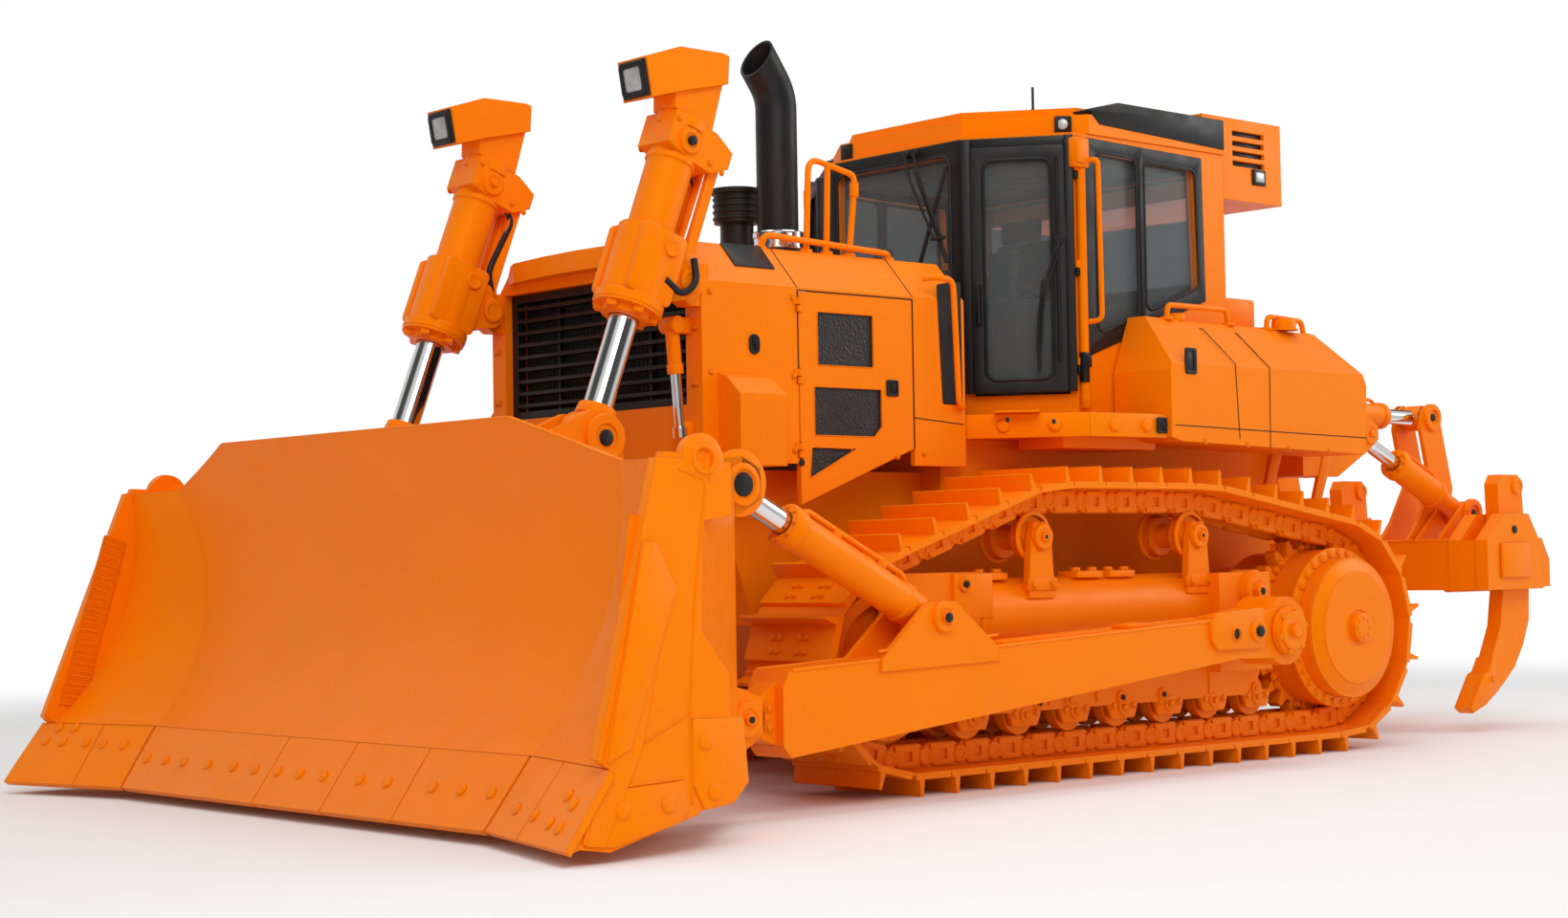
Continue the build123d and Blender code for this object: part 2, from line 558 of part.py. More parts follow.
# ---- blade and its linkage ---------------------------------------------------------
def push_arm():
    """Left push arm: tapering box, rear fork ring, front ball housing and the cylinder's foot."""
    low, high = ARM_Y - ARM_WIDTH / 2, ARM_Y + ARM_WIDTH / 2
    arm = plate([(-420, 545), (-420, 745), (2560, 610), (2600, 540), (2600, 300), (2560, 250)], low, high)
    arm += drum(*ARM_PIVOT, 170, low, high)
    arm += plate([(-800, 530), (-800, 800), (-300, 745), (-300, 545)], low, high)
    arm -= drum(*ARM_PIVOT, 79, low - 20, high + 20)
    arm += plate([(2590, 300), (2590, 560), (2700, 500), (2700, 340)], ARM_Y - 60, ARM_Y + 60)
    arm += drum(*BLADE_PIN, 105, ARM_Y - 55, ARM_Y + 55) - drum(*BLADE_PIN, 56, ARM_Y - 60, ARM_Y + 60)
    for y in (ARM_Y - 122, ARM_Y + 92):
        arm += plate([(1330, 600), (1330, 660), (1600, 870), (1760, 870), (2050, 630), (2050, 580)], y, y + 30)
    return arm + drum(*BRACE_PIN, 39, ARM_Y - 120, ARM_Y + 120)


def blade_profile():
    """Side-view face of the centre section: curved skin in front, two box beams behind."""
    back_r = MOULD_R + MOULD_THICK
    front = CenterArc(MOULD_CENTRE, MOULD_R, MOULD_LOW, MOULD_HIGH - MOULD_LOW)
    upper = CenterArc(MOULD_CENTRE, back_r, MOULD_HIGH, 14)
    middle = CenterArc(MOULD_CENTRE, back_r, 174, 14)
    seat = [across(EDGE_FOOT, EDGE_HEAD, reach, EDGE_THICK + EDGE_GAP) for reach in (18, EDGE_RISE)]
    edges = [front, Line(front @ 1, upper @ 0), upper,
             Polyline(upper @ 1, (BEAM_REAR, 1430), (BEAM_REAR, 1230), middle @ 0), middle,
             Polyline(middle @ 1, (BEAM_REAR + 20, 640), (BEAM_REAR, 290), (3290, 150), (3690, 110), *seat,
                      front @ 0)]
    return make_face(edges)


def crease_plane(side):
    """Plane between the centre section and a wing, facing outward."""
    x, y, z = CREASE_POINT
    nx, ny, nz = CREASE_NORMAL
    return Plane(origin=(x, side * y, z), z_dir=(nx, side * ny, nz))


def end_slab(thick):
    """Leaning slab outside which a wing has nothing; its outer face is the end plate's."""
    slab = Pos(3500, END_Y - thick / 2, 900) * Box(3000, thick, 4000)
    return Pos(0, END_Y, EDGE_FOOT[1]) * Rot(END_LEAN, 0, 0) * Pos(0, -END_Y, -EDGE_FOOT[1]) * slab


def blade():
    """Semi-U blade: centre section, wings, end plates, hinge lugs, ears and lift clevises."""
    half_length = 2000
    face = Plane.XZ.offset(half_length) * blade_profile()
    centre = extrude(face, amount=2 * half_length, dir=(0, 1, 0))
    for side in (-1, 1):
        centre = split(centre, bisect_by=crease_plane(side), keep=Keep.BOTTOM)
    crease = centre.faces().sort_by(Axis.Y)[-1]
    wing = extrude(crease, amount=1100, dir=(WING_RUN, 1, 0)) & end_slab(1400)
    inner, outer, skin_x = 1642, 2290, 3408
    corner = [(2880, inner), (2880, inner + 48), (3608, outer), (skin_x + WING_RUN * (outer - inner), outer),
              (skin_x, inner)]
    wing += plan(corner, 150, 1425) & end_slab(1400)
    cheek = [(3409, 1440), (3440, 1462), (3575, 1466), (3610, 1440), (4095, 60), (3960, 40), (3545, 140)]
    wing += plate(cheek, 1900, 2500) & end_slab(END_THICK)
    step = [(3700, 1131), (3999, 256), (4070, 70), (3990, 60), (3790, 385), (3590, 985)]
    wing += plate(step, 1900, 2500) & (Pos(0, 10, 0) * end_slab(END_THICK))
    plane, _, rise = wing_edge_plane()
    room = [(0, -90), (1300, -90), (1300, rise + 1), (0, rise + 1)]
    room = plane.offset(-WING_EDGE_THICK) * Polygon(*room, align=None)
    wing -= extrude(room, amount=300, dir=tuple(plane.z_dir))
    outline = BLADE_OUTLINE + [(-y, z) for y, z in reversed(BLADE_OUTLINE)]
    body = (centre + wing + mirrored(wing)) & front_view(outline, 2600, 4300)
    body += end_top(1) + end_top(-1)
    for y in (-1150, -400, 400, 1150):
        body += plate([(BEAM_REAR + 10, 1240), (3400, 1180), (3400, 760), (BEAM_REAR + 30, 630)], y - 15, y + 15)
    for side in (-1, 1):
        y = side * ARM_Y
        for dy in (-98, 68):
            body += plate([(3200, 250), (2790, 300), (2700, 360), (2700, 500), (2790, 540), (3200, 640)],
                          y + dy, y + dy + 30)
            body += plate([(3200, 1180), (2790, 1250), (2690, 1310), (2690, 1430), (2790, 1480),
                           (3200, 1440)], y + dy, y + dy + 30)
        body += drum(*BLADE_PIN, 55, y - 98, y + 98)
        y = side * LIFT_Y
        for dy in (-115, 75):
            body += plate([(3200, 1240), (2980, 1230), (2790, 1500), (2790, 1640), (2860, 1700),
                           (2960, 1700), (3470, 1490), (3300, 1300)], y + dy, y + dy + 40)
    return body


def end_top(side):
    """Rounded top of an end plate, with its lifting boss behind the fold."""
    lean = math.tan(math.radians(END_LEAN))
    y = END_Y - (1430 - EDGE_FOOT[1]) * lean
    top = plate([(3409, 1400), (3440, 1462), (3575, 1466), (3600, 1400)], y - 42, y - 6)
    boss = Pos(3330, y - 62, 1400) * Rot(0, 0, -50) * Rot(0, 90, 0) * Cylinder(85, 70)
    return top + boss if side > 0 else mirrored(top + boss)


def edge_plate(plane, outline, thick):
    """A flat cutting edge: outline of (along, up) steps on its front plane, with its thickness behind."""
    return extrude(plane * Polygon(*outline, align=None), amount=thick, dir=tuple(plane.z_dir * -1))


def wing_edge_plane():
    """Front plane of the left wing's edges, from the crease's foot, and the crease's (along, up) in it."""
    x, y, z = CREASE_POINT
    foot = Vector(EDGE_FOOT[0], y - CREASE_NORMAL[0] * (EDGE_FOOT[0] - x) - CREASE_NORMAL[2] * (EDGE_FOOT[1] - z),
                  EDGE_FOOT[1])
    run, climb = Vector(WING_RUN, 1, 0), Vector(*CREASE_POINT) - foot
    plane = Plane(origin=foot, x_dir=run, z_dir=run.cross(climb))
    along_run = climb.dot(run.normalized())
    return plane, along_run, math.sqrt(climb.length ** 2 - along_run ** 2)


def cutting_edges():
    """Bolt-on cutting edges and end bits: a straight row in the middle, two on each wing."""
    plane, lean, rise = wing_edge_plane()
    rise -= 2
    foot_y = plane.origin.Y
    slant = CREASE_POINT[1] - foot_y
    front = Plane(origin=(EDGE_FOOT[0], 0, EDGE_FOOT[1]), x_dir=(0, 1, 0),
                  z_dir=(EDGE_HEAD[1] - EDGE_FOOT[1], 0, EDGE_FOOT[0] - EDGE_HEAD[0]))
    end_y = foot_y - CREASE_GAP
    # low foot, high foot, low head, high head, all along Y
    rows = ((-end_y, -270, -end_y - slant, -270), (-270, 280, -270, 280), (280, 820, 280, 820),
            (820, end_y, 820, end_y + slant))
    pieces = []
    for low, high, low_head, high_head in rows:
        outline = [(low + 4, 0), (high - 4, 0), (high_head - 4, EDGE_RISE - 2), (low_head + 4, EDGE_RISE - 2)]
        pieces.append(edge_plate(front, outline, EDGE_THICK))
    length = (END_Y - foot_y) * math.hypot(WING_RUN, 1)
    wing = [[(6, 0), (330, 0), (322, rise), (6 + lean, rise)],
            [(336, 0), (length, 0), (length - 10, 90), (length - 50, rise), (328, rise)]]
    for outline in wing:
        piece = edge_plate(plane, outline, WING_EDGE_THICK - EDGE_GAP)
        pieces += [piece, mirrored(piece)]
    return Compound(children=pieces)


def lift_barrel():
    """Left blade lift cylinder: barrel, clamped collar with its cheeks, gland, head yoke and tie bar."""
    axis = (LIFT_COLLAR, LIFT_PIN)
    barrel = bar(at_y(along(*axis, -640), LIFT_Y), at_y(along(*axis, 320), LIFT_Y), 106)
    barrel += bar(at_y(along(*axis, -90), LIFT_Y), at_y(along(*axis, 240), LIFT_Y), 140)
    barrel += bar(at_y(along(*axis, 230), LIFT_Y), at_y(along(*axis, 290), LIFT_Y), 152)
    barrel += bar(at_y(along(*axis, -640), LIFT_Y), at_y(along(*axis, -585), LIFT_Y), 120)
    yoke = [across(*axis, -625, -125), across(*axis, -625, 118), across(*axis, -470, 118),
            across(*axis, -440, -60), across(*axis, -440, -150), across(*axis, -500, -235),
            across(*axis, -580, -235)]
    barrel += plate(yoke, LIFT_Y - 108, LIFT_Y + 108)
    tie = [across(*axis, -560, -215), across(*axis, -560, -165), across(*axis, -60, -165),
           across(*axis, -60, -100), across(*axis, -10, -100), across(*axis, -10, -175),
           across(*axis, -60, -215)]
    for y in (LIFT_Y - 70, LIFT_Y + 45):
        barrel += plate(tie, y, y + 25)
    cheek = [along(*axis, -80), (2420, 2380), (2330, 2330), (2320, 2250), (2370, 2210), along(*axis, 260)]
    for y in (LIFT_Y - 92, LIFT_Y + 52):
        barrel += plate(cheek, y, y + 40) - drum(*LIFT_PIVOT, 40, y - 5, y + 45)
    return barrel - bar(at_y(along(*axis, -560), LIFT_Y), at_y(along(*axis, 330), LIFT_Y), 66)


def lift_rod():
    """Left lift rod: chrome rod, eye and its pin."""
    axis = (LIFT_PIN, LIFT_COLLAR)
    rod = bar(at_y(LIFT_PIN, LIFT_Y), at_y(along(*axis, 1040), LIFT_Y), 65)
    return rod + drum(*LIFT_PIN, 120, LIFT_Y - 65, LIFT_Y + 65)


def tilt_barrel():
    """Left tilt cylinder barrel on the push arm."""
    axis = (BRACE_PIN, EAR_PIN)
    barrel = bar(at_y(along(*axis, 60), ARM_Y), at_y(along(*axis, 900), ARM_Y), 82)
    barrel += drum(*BRACE_PIN, 85, ARM_Y - 62, ARM_Y + 62)
    barrel -= drum(*BRACE_PIN, 40, ARM_Y - 70, ARM_Y + 70)
    return barrel - bar(at_y(along(*axis, 200), ARM_Y), at_y(along(*axis, 920), ARM_Y), 51)


def tilt_rod():
    """Left tilt cylinder rod with its eye."""
    axis = (EAR_PIN, BRACE_PIN)
    rod = bar(at_y(EAR_PIN, ARM_Y), at_y(along(*axis, 900), ARM_Y), 50)
    return rod + drum(*EAR_PIN, 90, ARM_Y - 60, ARM_Y + 60)


def lamp_bracket():
    """Left lamp housing on the lift cylinder's head, with its foot."""
    low, high = LIFT_Y - 102, LIFT_Y + 102
    housing = plate([(2155, 3190), (2146, 3316), (2180, 3326), (2428, 3326), (2622, 3262), (2590, 3085),
                     (2420, 3130)], low, high)
    housing -= plate([(2590, 3105), (2640, 3100), (2650, 3250), (2603, 3252)], low + 25, high - 25)
    axis = (LIFT_COLLAR, LIFT_PIN)
    foot = [across(*axis, -640.3, -115), (2165, 3200), (2440, 3150), across(*axis, -640.3, 110)]
    return housing + plate(foot, low + 25, high - 25)


# ---- ripper ------------------------------------------------------------------------
def ripper_links():
    """Lower links: two arms joined by a cross tube."""
    body = drum(-2700, 894, 80, -LINK_Y, LINK_Y)
    for side in (-1, 1):
        y = side * LINK_Y
        body += plate([(LINK_HULL_PIN[0], 835), (LINK_HULL_PIN[0], 965), (LINK_BEAM_PIN[0], 953),
                       (LINK_BEAM_PIN[0], 823)], y - 60, y + 60)
        for pin in (LINK_HULL_PIN, LINK_BEAM_PIN):
            body += drum(*pin, 80, y - 60, y + 60)
            body -= drum(*pin, 50, y - 70, y + 70)
    return body


def ripper_pins():
    """Cross shaft between the lower links' eyes, with a pin at each end."""
    return drum(*LINK_BEAM_PIN, 49, -LINK_Y - 100, LINK_Y + 100) + drum(*LINK_BEAM_PIN, 82, -340, 340)


def ripper_beam():
    """Toolbar with its shank pockets, mast plates, link lugs and cylinder lugs."""
    body = block(-3490, -3250, -1230, 1230, 820, 1110)
    mast = [(-3255, 1090), (-3400, 1230), (-3545, 1440), (-3450, 1790), (-3480, 1900), (-3560, 1940),
            (-3640, 1890), (-3770, 1430), (-3700, 1230), (-3485, 1000), (-3300, 1000)]
    lug = [(-3260, 815), (-3150, 815), (-3080, 850), (-3080, 926), (-3150, 961), (-3260, 980)]
    ram = [(-3300, 1100), (-3590, 1330), (-3670, 1360), (-3750, 1310), (-3750, 1230), (-3488, 1000),
           (-3300, 1000)]
    for side in (-1, 1):
        for outline, centre, gap, thick in ((mast, MAST_Y, 80, 26), (ram, RAM_Y, 64, 26)):
            y = side * centre
            body += plate(outline, y - gap - thick, y - gap) + plate(outline, y + gap, y + gap + thick)
        y = side * LINK_Y
        lugs = plate(lug, y - 100, y - 66) + plate(lug, y + 66, y + 100)
        body += lugs - drum(*LINK_BEAM_PIN, 50, y - 110, y + 110)
        body += drum(*RAM_BEAM_PIN, 39, side * RAM_Y - 85, side * RAM_Y + 85)
    cheek = [(-3240, 820), (-3240, 1110), (-3422, 1263), (-3685, 1263), (-3830, 1060), (-3830, 820)]
    keeper = [(-3820, 830), (-3820, 1120), (-3880, 1120), (-3960, 990), (-3960, 830)]
    for y in SHANK_Y:
        body += plate(cheek, y - 130, y - 50) + plate(cheek, y + 50, y + 130) + plate(keeper, y - 95, y + 95)
    return body + block(-REACH, -3950, -150, 150, 820, 980)


def ripper_shanks():
    """Curved shanks with their points, each with a pin boss at its rounded head."""
    outline = [(-3500, 1440), (-3528, 805), (-3491, 606), (-3400, 440), (-3331, 340), (-3282, 325),
               (-3135, 140), (-3180, 110), (-3300, 150), (-3500, 262), (-3632, 361), (-3730, 490),
               (-3798, 632), (-3808, 805), (-3757, 1440), (-3720, 1495), (-3540, 1495)]
    shanks = []
    for y in SHANK_Y:
        shanks.append(plate(outline, y - 44, y + 44) + drum(-3700, 1430, 34, y - 58, y + 58))
    return Compound(children=shanks)


def upper_barrels():
    """Barrels of the upper links (ripper tilt cylinders)."""
    axis = (TOP_HULL_PIN, TOP_MAST_PIN)
    parts = []
    for side in (-1, 1):
        y = side * MAST_Y
        barrel = bar(at_y(along(*axis, 40), y), at_y(along(*axis, 600), y), 70)
        barrel += drum(*TOP_HULL_PIN, 72, y - 70, y + 70)
        barrel -= drum(*TOP_HULL_PIN, 40, y - 80, y + 80)
        parts.append(barrel - bar(at_y(along(*axis, 120), y), at_y(along(*axis, 620), y), 46))
    return Compound(children=parts)


def upper_rods():
    """Rods of the upper links with their eyes."""
    axis = (TOP_MAST_PIN, TOP_HULL_PIN)
    parts = []
    for side in (-1, 1):
        y = side * MAST_Y
        rod = bar(at_y(TOP_MAST_PIN, y), at_y(along(*axis, 700), y), 45)
        parts.append(rod + drum(*TOP_MAST_PIN, 72, y - 60, y + 60))
    return Compound(children=parts)


def ram_barrels():
    """Barrels of the ripper lift cylinders, pinned on the mast's foot."""
    axis = (RAM_BEAM_PIN, RAM_HULL_PIN)
    parts = []
    for side in (-1, 1):
        y = side * RAM_Y
        barrel = bar(at_y(along(*axis, 50), y), at_y(along(*axis, 280), y), 58)
        barrel += bar(at_y(along(*axis, 260), y), at_y(along(*axis, 720), y), 80)
        barrel += drum(*RAM_BEAM_PIN, 72, y - 56, y + 56)
        barrel -= drum(*RAM_BEAM_PIN, 40, y - 70, y + 70)
        parts.append(barrel - bar(at_y(along(*axis, 120), y), at_y(along(*axis, 760), y), 43))
    return Compound(children=parts)


def ram_rods():
    """Rods of the ripper lift cylinders, open at their eyes on the hull."""
    axis = (RAM_HULL_PIN, RAM_BEAM_PIN)
    parts = []
    for side in (-1, 1):
        y = side * RAM_Y
        rod = bar(at_y(RAM_HULL_PIN, y), at_y(along(*axis, 820), y), 42)
        parts.append(rod + drum(*RAM_HULL_PIN, 70, y - 55, y + 55))
    return Compound(children=parts)


# ---- writing the parts -------------------------------------------------------------
SINGLE = {
    "main_frame": main_frame, "ripper_base": ripper_base, "engine_block": engine, "hood": hood,
    "grille": grille, "exhaust": exhaust, "pre_cleaner": pre_cleaner, "cab_frame": cab_frame,
    "cab_glass": cab_glass, "cab_roof": cab_roof, "roof_cover": roof_cover, "cooling_unit": cooling_unit, "seat": seat,
    "console": console, "blade": blade, "cutting_edges": cutting_edges, "ripper_links": ripper_links,
    "ripper_pins": ripper_pins, "ripper_beam": ripper_beam, "ripper_shanks": ripper_shanks,
    "upper_barrels": upper_barrels, "upper_rods": upper_rods, "ram_barrels": ram_barrels,
    "ram_rods": ram_rods,
}
PAIRED = {
    "track": track, "running_wheels": running_wheels, "track_frame": track_frame,
    "final_drive": final_drive, "side_door": side_door, "cab_door": cab_door, "door_glass": door_glass,
    "platform": platform, "side_tank": side_tank, "push_arm": push_arm, "lift_barrel": lift_barrel,
    "lift_rod": lift_rod, "tilt_barrel": tilt_barrel, "tilt_rod": tilt_rod, "lamp_bracket": lamp_bracket,
}

os.makedirs("parts", exist_ok=True)
for name, make in SINGLE.items():
    export_step(make(), f"parts/{name}.step")
for name, make in PAIRED.items():
    left = make()
    export_step(left, f"parts/{name}_left.step")
    export_step(mirrored(left), f"parts/{name}_right.step")
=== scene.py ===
import json
import math
import bmesh
import bpy
from mathutils import Matrix, Vector

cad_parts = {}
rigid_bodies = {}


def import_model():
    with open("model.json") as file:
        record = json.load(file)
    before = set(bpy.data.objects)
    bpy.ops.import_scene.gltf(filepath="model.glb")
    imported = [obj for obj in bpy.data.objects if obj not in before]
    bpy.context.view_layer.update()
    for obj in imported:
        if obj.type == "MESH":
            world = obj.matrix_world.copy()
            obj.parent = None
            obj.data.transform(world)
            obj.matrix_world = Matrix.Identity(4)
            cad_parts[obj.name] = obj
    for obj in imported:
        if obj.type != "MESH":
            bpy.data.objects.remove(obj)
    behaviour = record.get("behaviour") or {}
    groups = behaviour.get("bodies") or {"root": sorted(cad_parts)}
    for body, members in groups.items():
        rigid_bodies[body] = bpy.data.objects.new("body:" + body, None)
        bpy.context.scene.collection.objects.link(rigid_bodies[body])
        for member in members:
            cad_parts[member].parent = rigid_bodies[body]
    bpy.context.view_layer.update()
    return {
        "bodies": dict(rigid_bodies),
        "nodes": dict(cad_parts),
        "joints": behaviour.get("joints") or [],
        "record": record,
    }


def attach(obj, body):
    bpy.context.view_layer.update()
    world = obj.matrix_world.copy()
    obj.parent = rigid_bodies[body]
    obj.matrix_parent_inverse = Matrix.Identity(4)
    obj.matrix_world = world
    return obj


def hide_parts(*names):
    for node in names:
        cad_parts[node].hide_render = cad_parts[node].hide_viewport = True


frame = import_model()
nodes = frame["nodes"]
print("frame loaded:", len(nodes), "nodes")


# camera, floor and light

camera = {
    "place": (9.305, 9.177, 1.049),
    "heading": -131.806,   # degrees from +X
    "rise": 2.246,
    "roll": -0.968,
    "lens": 56.74,
    "shiftUp": 0.00415,
}

studio = {
    "skyStrength": 0.62,
    "skyColour": (1.0, 1.0, 1.0, 1.0),
    "floorColour": (0.86, 0.86, 0.86, 1.0),
    "screens": 3.0,        # bright uprights round the object, seen in reflections only
    "screenTurn": 1.1,     # radians
    "screenRange": (-0.5, 0.7, 0.10, 0.95),   # wave from, to, strength from, to
    "floorSize": 90.0,
    "fadeFrom": 7.0,       # metres from the middle, where the floor turns to backdrop
    "fadeTo": 13.0,
    # name, place, aimed at, width, height, watts
    "lamps": (
        ("keyLamp", (7.0, 9.0, 8.5), (0.5, 0.0, 1.3), 6.0, 5.0, 420.0),
        ("topLamp", (0.0, 0.0, 10.5), (0.0, 0.0, 0.0), 10.0, 7.0, 340.0),
        ("rearLamp", (-9.0, 6.0, 6.0), (-1.0, 0.0, 1.5), 5.0, 4.0, 200.0),
    ),
}


def addNode(tree, kind, place=(0, 0), **settings):
    node = tree.nodes.new(kind)
    node.location = place
    for name, value in settings.items():
        setattr(node, name, value)
    return node


def setInputs(node, values):
    for label, value in values.items():
        node.inputs[label].default_value = value


def mathNode(tree, operation, first, second, place=(0, 0), clamp=False):
    node = addNode(tree, "ShaderNodeMath", place, operation=operation, use_clamp=clamp)
    for socket, value in zip(node.inputs, (first, second)):
        if isinstance(value, (int, float)):
            socket.default_value = value
        elif value is not None:
            tree.links.new(value, socket)
    return node.outputs[0]


def makeCamera():
    heading, rise, roll = (math.radians(camera[k]) for k in ("heading", "rise", "roll"))
    ahead = Vector((math.cos(heading) * math.cos(rise), math.sin(heading) * math.cos(rise), math.sin(rise)))
    right = ahead.cross(Vector((0, 0, 1))).normalized()
    up = right.cross(ahead)
    axisX = right * math.cos(roll) + up * math.sin(roll)
    axisY = up * math.cos(roll) - right * math.sin(roll)
    data = bpy.data.cameras.new("studioCamera")
    data.lens = camera["lens"]
    data.shift_y = camera["shiftUp"]
    data.clip_end = 300.0
    eye = bpy.data.objects.new("studioCamera", data)
    bpy.context.scene.collection.objects.link(eye)
    turned = Matrix((axisX, axisY, -ahead)).transposed().to_4x4()
    eye.matrix_world = Matrix.Translation(camera["place"]) @ turned
    bpy.context.scene.camera = eye


def lightPathMask(tree, place):
    # rays from the camera, also where they pass through glass
    path = addNode(tree, "ShaderNodeLightPath", place)
    seen, through = path.outputs["Is Camera Ray"], path.outputs["Is Transmission Ray"]
    return mathNode(tree, "MAXIMUM", seen, through, place)


rangeLabels = ("From Min", "From Max", "To Min", "To Max")


def makeSky():
    world = bpy.data.worlds.new("studioSky")
    bpy.context.scene.world = world
    world.use_nodes = True
    tree = world.node_tree
    tree.nodes.clear()
    soft = addNode(tree, "ShaderNodeBackground", (-300, 0))
    setInputs(soft, {"Color": studio["skyColour"], "Strength": studio["skyStrength"]})
    white = addNode(tree, "ShaderNodeBackground", (-300, -160))
    setInputs(white, {"Color": (1, 1, 1, 1), "Strength": 1.0})
    mix = addNode(tree, "ShaderNodeMixShader", (0, 0))
    out = addNode(tree, "ShaderNodeOutputWorld", (400, 0))
    tree.links.new(lightPathMask(tree, (-600, 200)), mix.inputs[0])
    # reflections see bright and dark uprights, as between studio screens
    ray = addNode(tree, "ShaderNodeNewGeometry", (-1400, -300))
    split = addNode(tree, "ShaderNodeSeparateXYZ", (-1200, -300))
    tree.links.new(ray.outputs["Incoming"], split.inputs[0])
    around = mathNode(tree, "ARCTAN2", split.outputs["Y"], split.outputs["X"], (-1000, -300))
    phase = mathNode(tree, "ADD", mathNode(tree, "MULTIPLY", around, studio["screens"]), studio["screenTurn"])
    wave = mathNode(tree, "COSINE", phase, None, (-800, -300))
    bands = addNode(tree, "ShaderNodeMapRange", (-600, -300), interpolation_type="SMOOTHSTEP")
    tree.links.new(wave, bands.inputs["Value"])
    setInputs(bands, dict(zip(rangeLabels, studio["screenRange"])))
    path = addNode(tree, "ShaderNodeLightPath", (-1000, 0))
    screen = addNode(tree, "ShaderNodeBackground", (-300, -320))
    tree.links.new(bands.outputs[0], screen.inputs["Strength"])
    mirrored = addNode(tree, "ShaderNodeMixShader", (200, 0))
    tree.links.new(path.outputs["Is Glossy Ray"], mirrored.inputs[0])
    tree.links.new(soft.outputs[0], mix.inputs[1])
    tree.links.new(white.outputs[0], mix.inputs[2])
    tree.links.new(mix.outputs[0], mirrored.inputs[1])
    tree.links.new(screen.outputs[0], mirrored.inputs[2])
    tree.links.new(mirrored.outputs[0], out.inputs[0])


def makeFloor():
    mesh = bpy.data.meshes.new("studioFloor")
    bm = bmesh.new()
    bmesh.ops.create_grid(bm, x_segments=1, y_segments=1, size=studio["floorSize"] / 2)
    bm.to_mesh(mesh)
    bm.free()
    floor = bpy.data.objects.new("studioFloor", mesh)
    bpy.context.scene.collection.objects.link(floor)
    material = bpy.data.materials.new("studioFloor")
    material.use_nodes = True
    tree = material.node_tree
    tree.nodes.clear()
    matt = addNode(tree, "ShaderNodeBsdfDiffuse", (-200, 0))
    matt.inputs["Color"].default_value = studio["floorColour"]
    glow = addNode(tree, "ShaderNodeEmission", (-200, -150))
    place = addNode(tree, "ShaderNodeTexCoord", (-1000, 200))
    length = addNode(tree, "ShaderNodeVectorMath", (-800, 200), operation="LENGTH")
    tree.links.new(place.outputs["Object"], length.inputs[0])
    fade = addNode(tree, "ShaderNodeMapRange", (-600, 200), interpolation_type="SMOOTHSTEP")
    setInputs(fade, {"From Min": studio["fadeFrom"], "From Max": studio["fadeTo"]})
    tree.links.new(length.outputs["Value"], fade.inputs["Value"])
    share = mathNode(tree, "MULTIPLY", fade.outputs[0], lightPathMask(tree, (-800, 0)), (-300, 200))
    mix = addNode(tree, "ShaderNodeMixShader", (0, 0))
    out = addNode(tree, "ShaderNodeOutputMaterial", (200, 0))
    tree.links.new(share, mix.inputs[0])
    tree.links.new(matt.outputs[0], mix.inputs[1])
    tree.links.new(glow.outputs[0], mix.inputs[2])
    tree.links.new(mix.outputs[0], out.inputs[0])
    mesh.materials.append(material)


def makeLamps():
    for name, place, target, width, height, watts in studio["lamps"]:
        data = bpy.data.lights.new(name, "AREA")
        data.shape = "RECTANGLE"
        data.size, data.size_y = width, height
        data.energy = watts
        lamp = bpy.data.objects.new(name, data)
        bpy.context.scene.collection.objects.link(lamp)
        facing = (Vector(target) - Vector(place)).to_track_quat("-Z", "Y")
        lamp.matrix_world = Matrix.Translation(place) @ facing.to_matrix().to_4x4()


makeCamera()
makeSky()
makeFloor()
makeLamps()
bpy.context.scene.view_settings.view_transform = "Standard"
print("stage ready")


# finishes

def newGroup(name, wanted, given):
    group = bpy.data.node_groups.new(name, "ShaderNodeTree")
    for label, kind, value in wanted:
        socket = group.interface.new_socket(label, in_out="INPUT", socket_type=kind)
        socket.default_value = value
    for label, kind in given:
        group.interface.new_socket(label, in_out="OUTPUT", socket_type=kind)
    return group, addNode(group, "NodeGroupInput", (-1400, 0)), addNode(group, "NodeGroupOutput", (700, 0))


def noiseNode(tree, vector, scale, detail, roughness=0.55, place=(0, 0)):
    node = addNode(tree, "ShaderNodeTexNoise", place)
    setInputs(node, {"Detail": detail, "Roughness": roughness})
    tree.links.new(vector, node.inputs["Vector"])
    if isinstance(scale, (int, float)):
        node.inputs["Scale"].default_value = scale
    else:
        tree.links.new(scale, node.inputs["Scale"])
    return node.outputs[0]


def rangeNode(tree, value, low, high, toLow, toHigh, place=(0, 0)):
    node = addNode(tree, "ShaderNodeMapRange", place)
    tree.links.new(value, node.inputs["Value"])
    for label, number in zip(rangeLabels, (low, high, toLow, toHigh)):
        if isinstance(number, (int, float)):
            node.inputs[label].default_value = number
        else:
            tree.links.new(number, node.inputs[label])
    return node.outputs[0]


def mixColour(tree, share, first, second, place=(0, 0), blend="MIX"):
    node = addNode(tree, "ShaderNodeMix", place, data_type="RGBA", blend_type=blend)
    for socket, value in ((node.inputs[0], share), (node.inputs[6], first), (node.inputs[7], second)):
        if isinstance(value, (int, float, tuple)):
            socket.default_value = value
        else:
            tree.links.new(value, socket)
    return node.outputs[2]


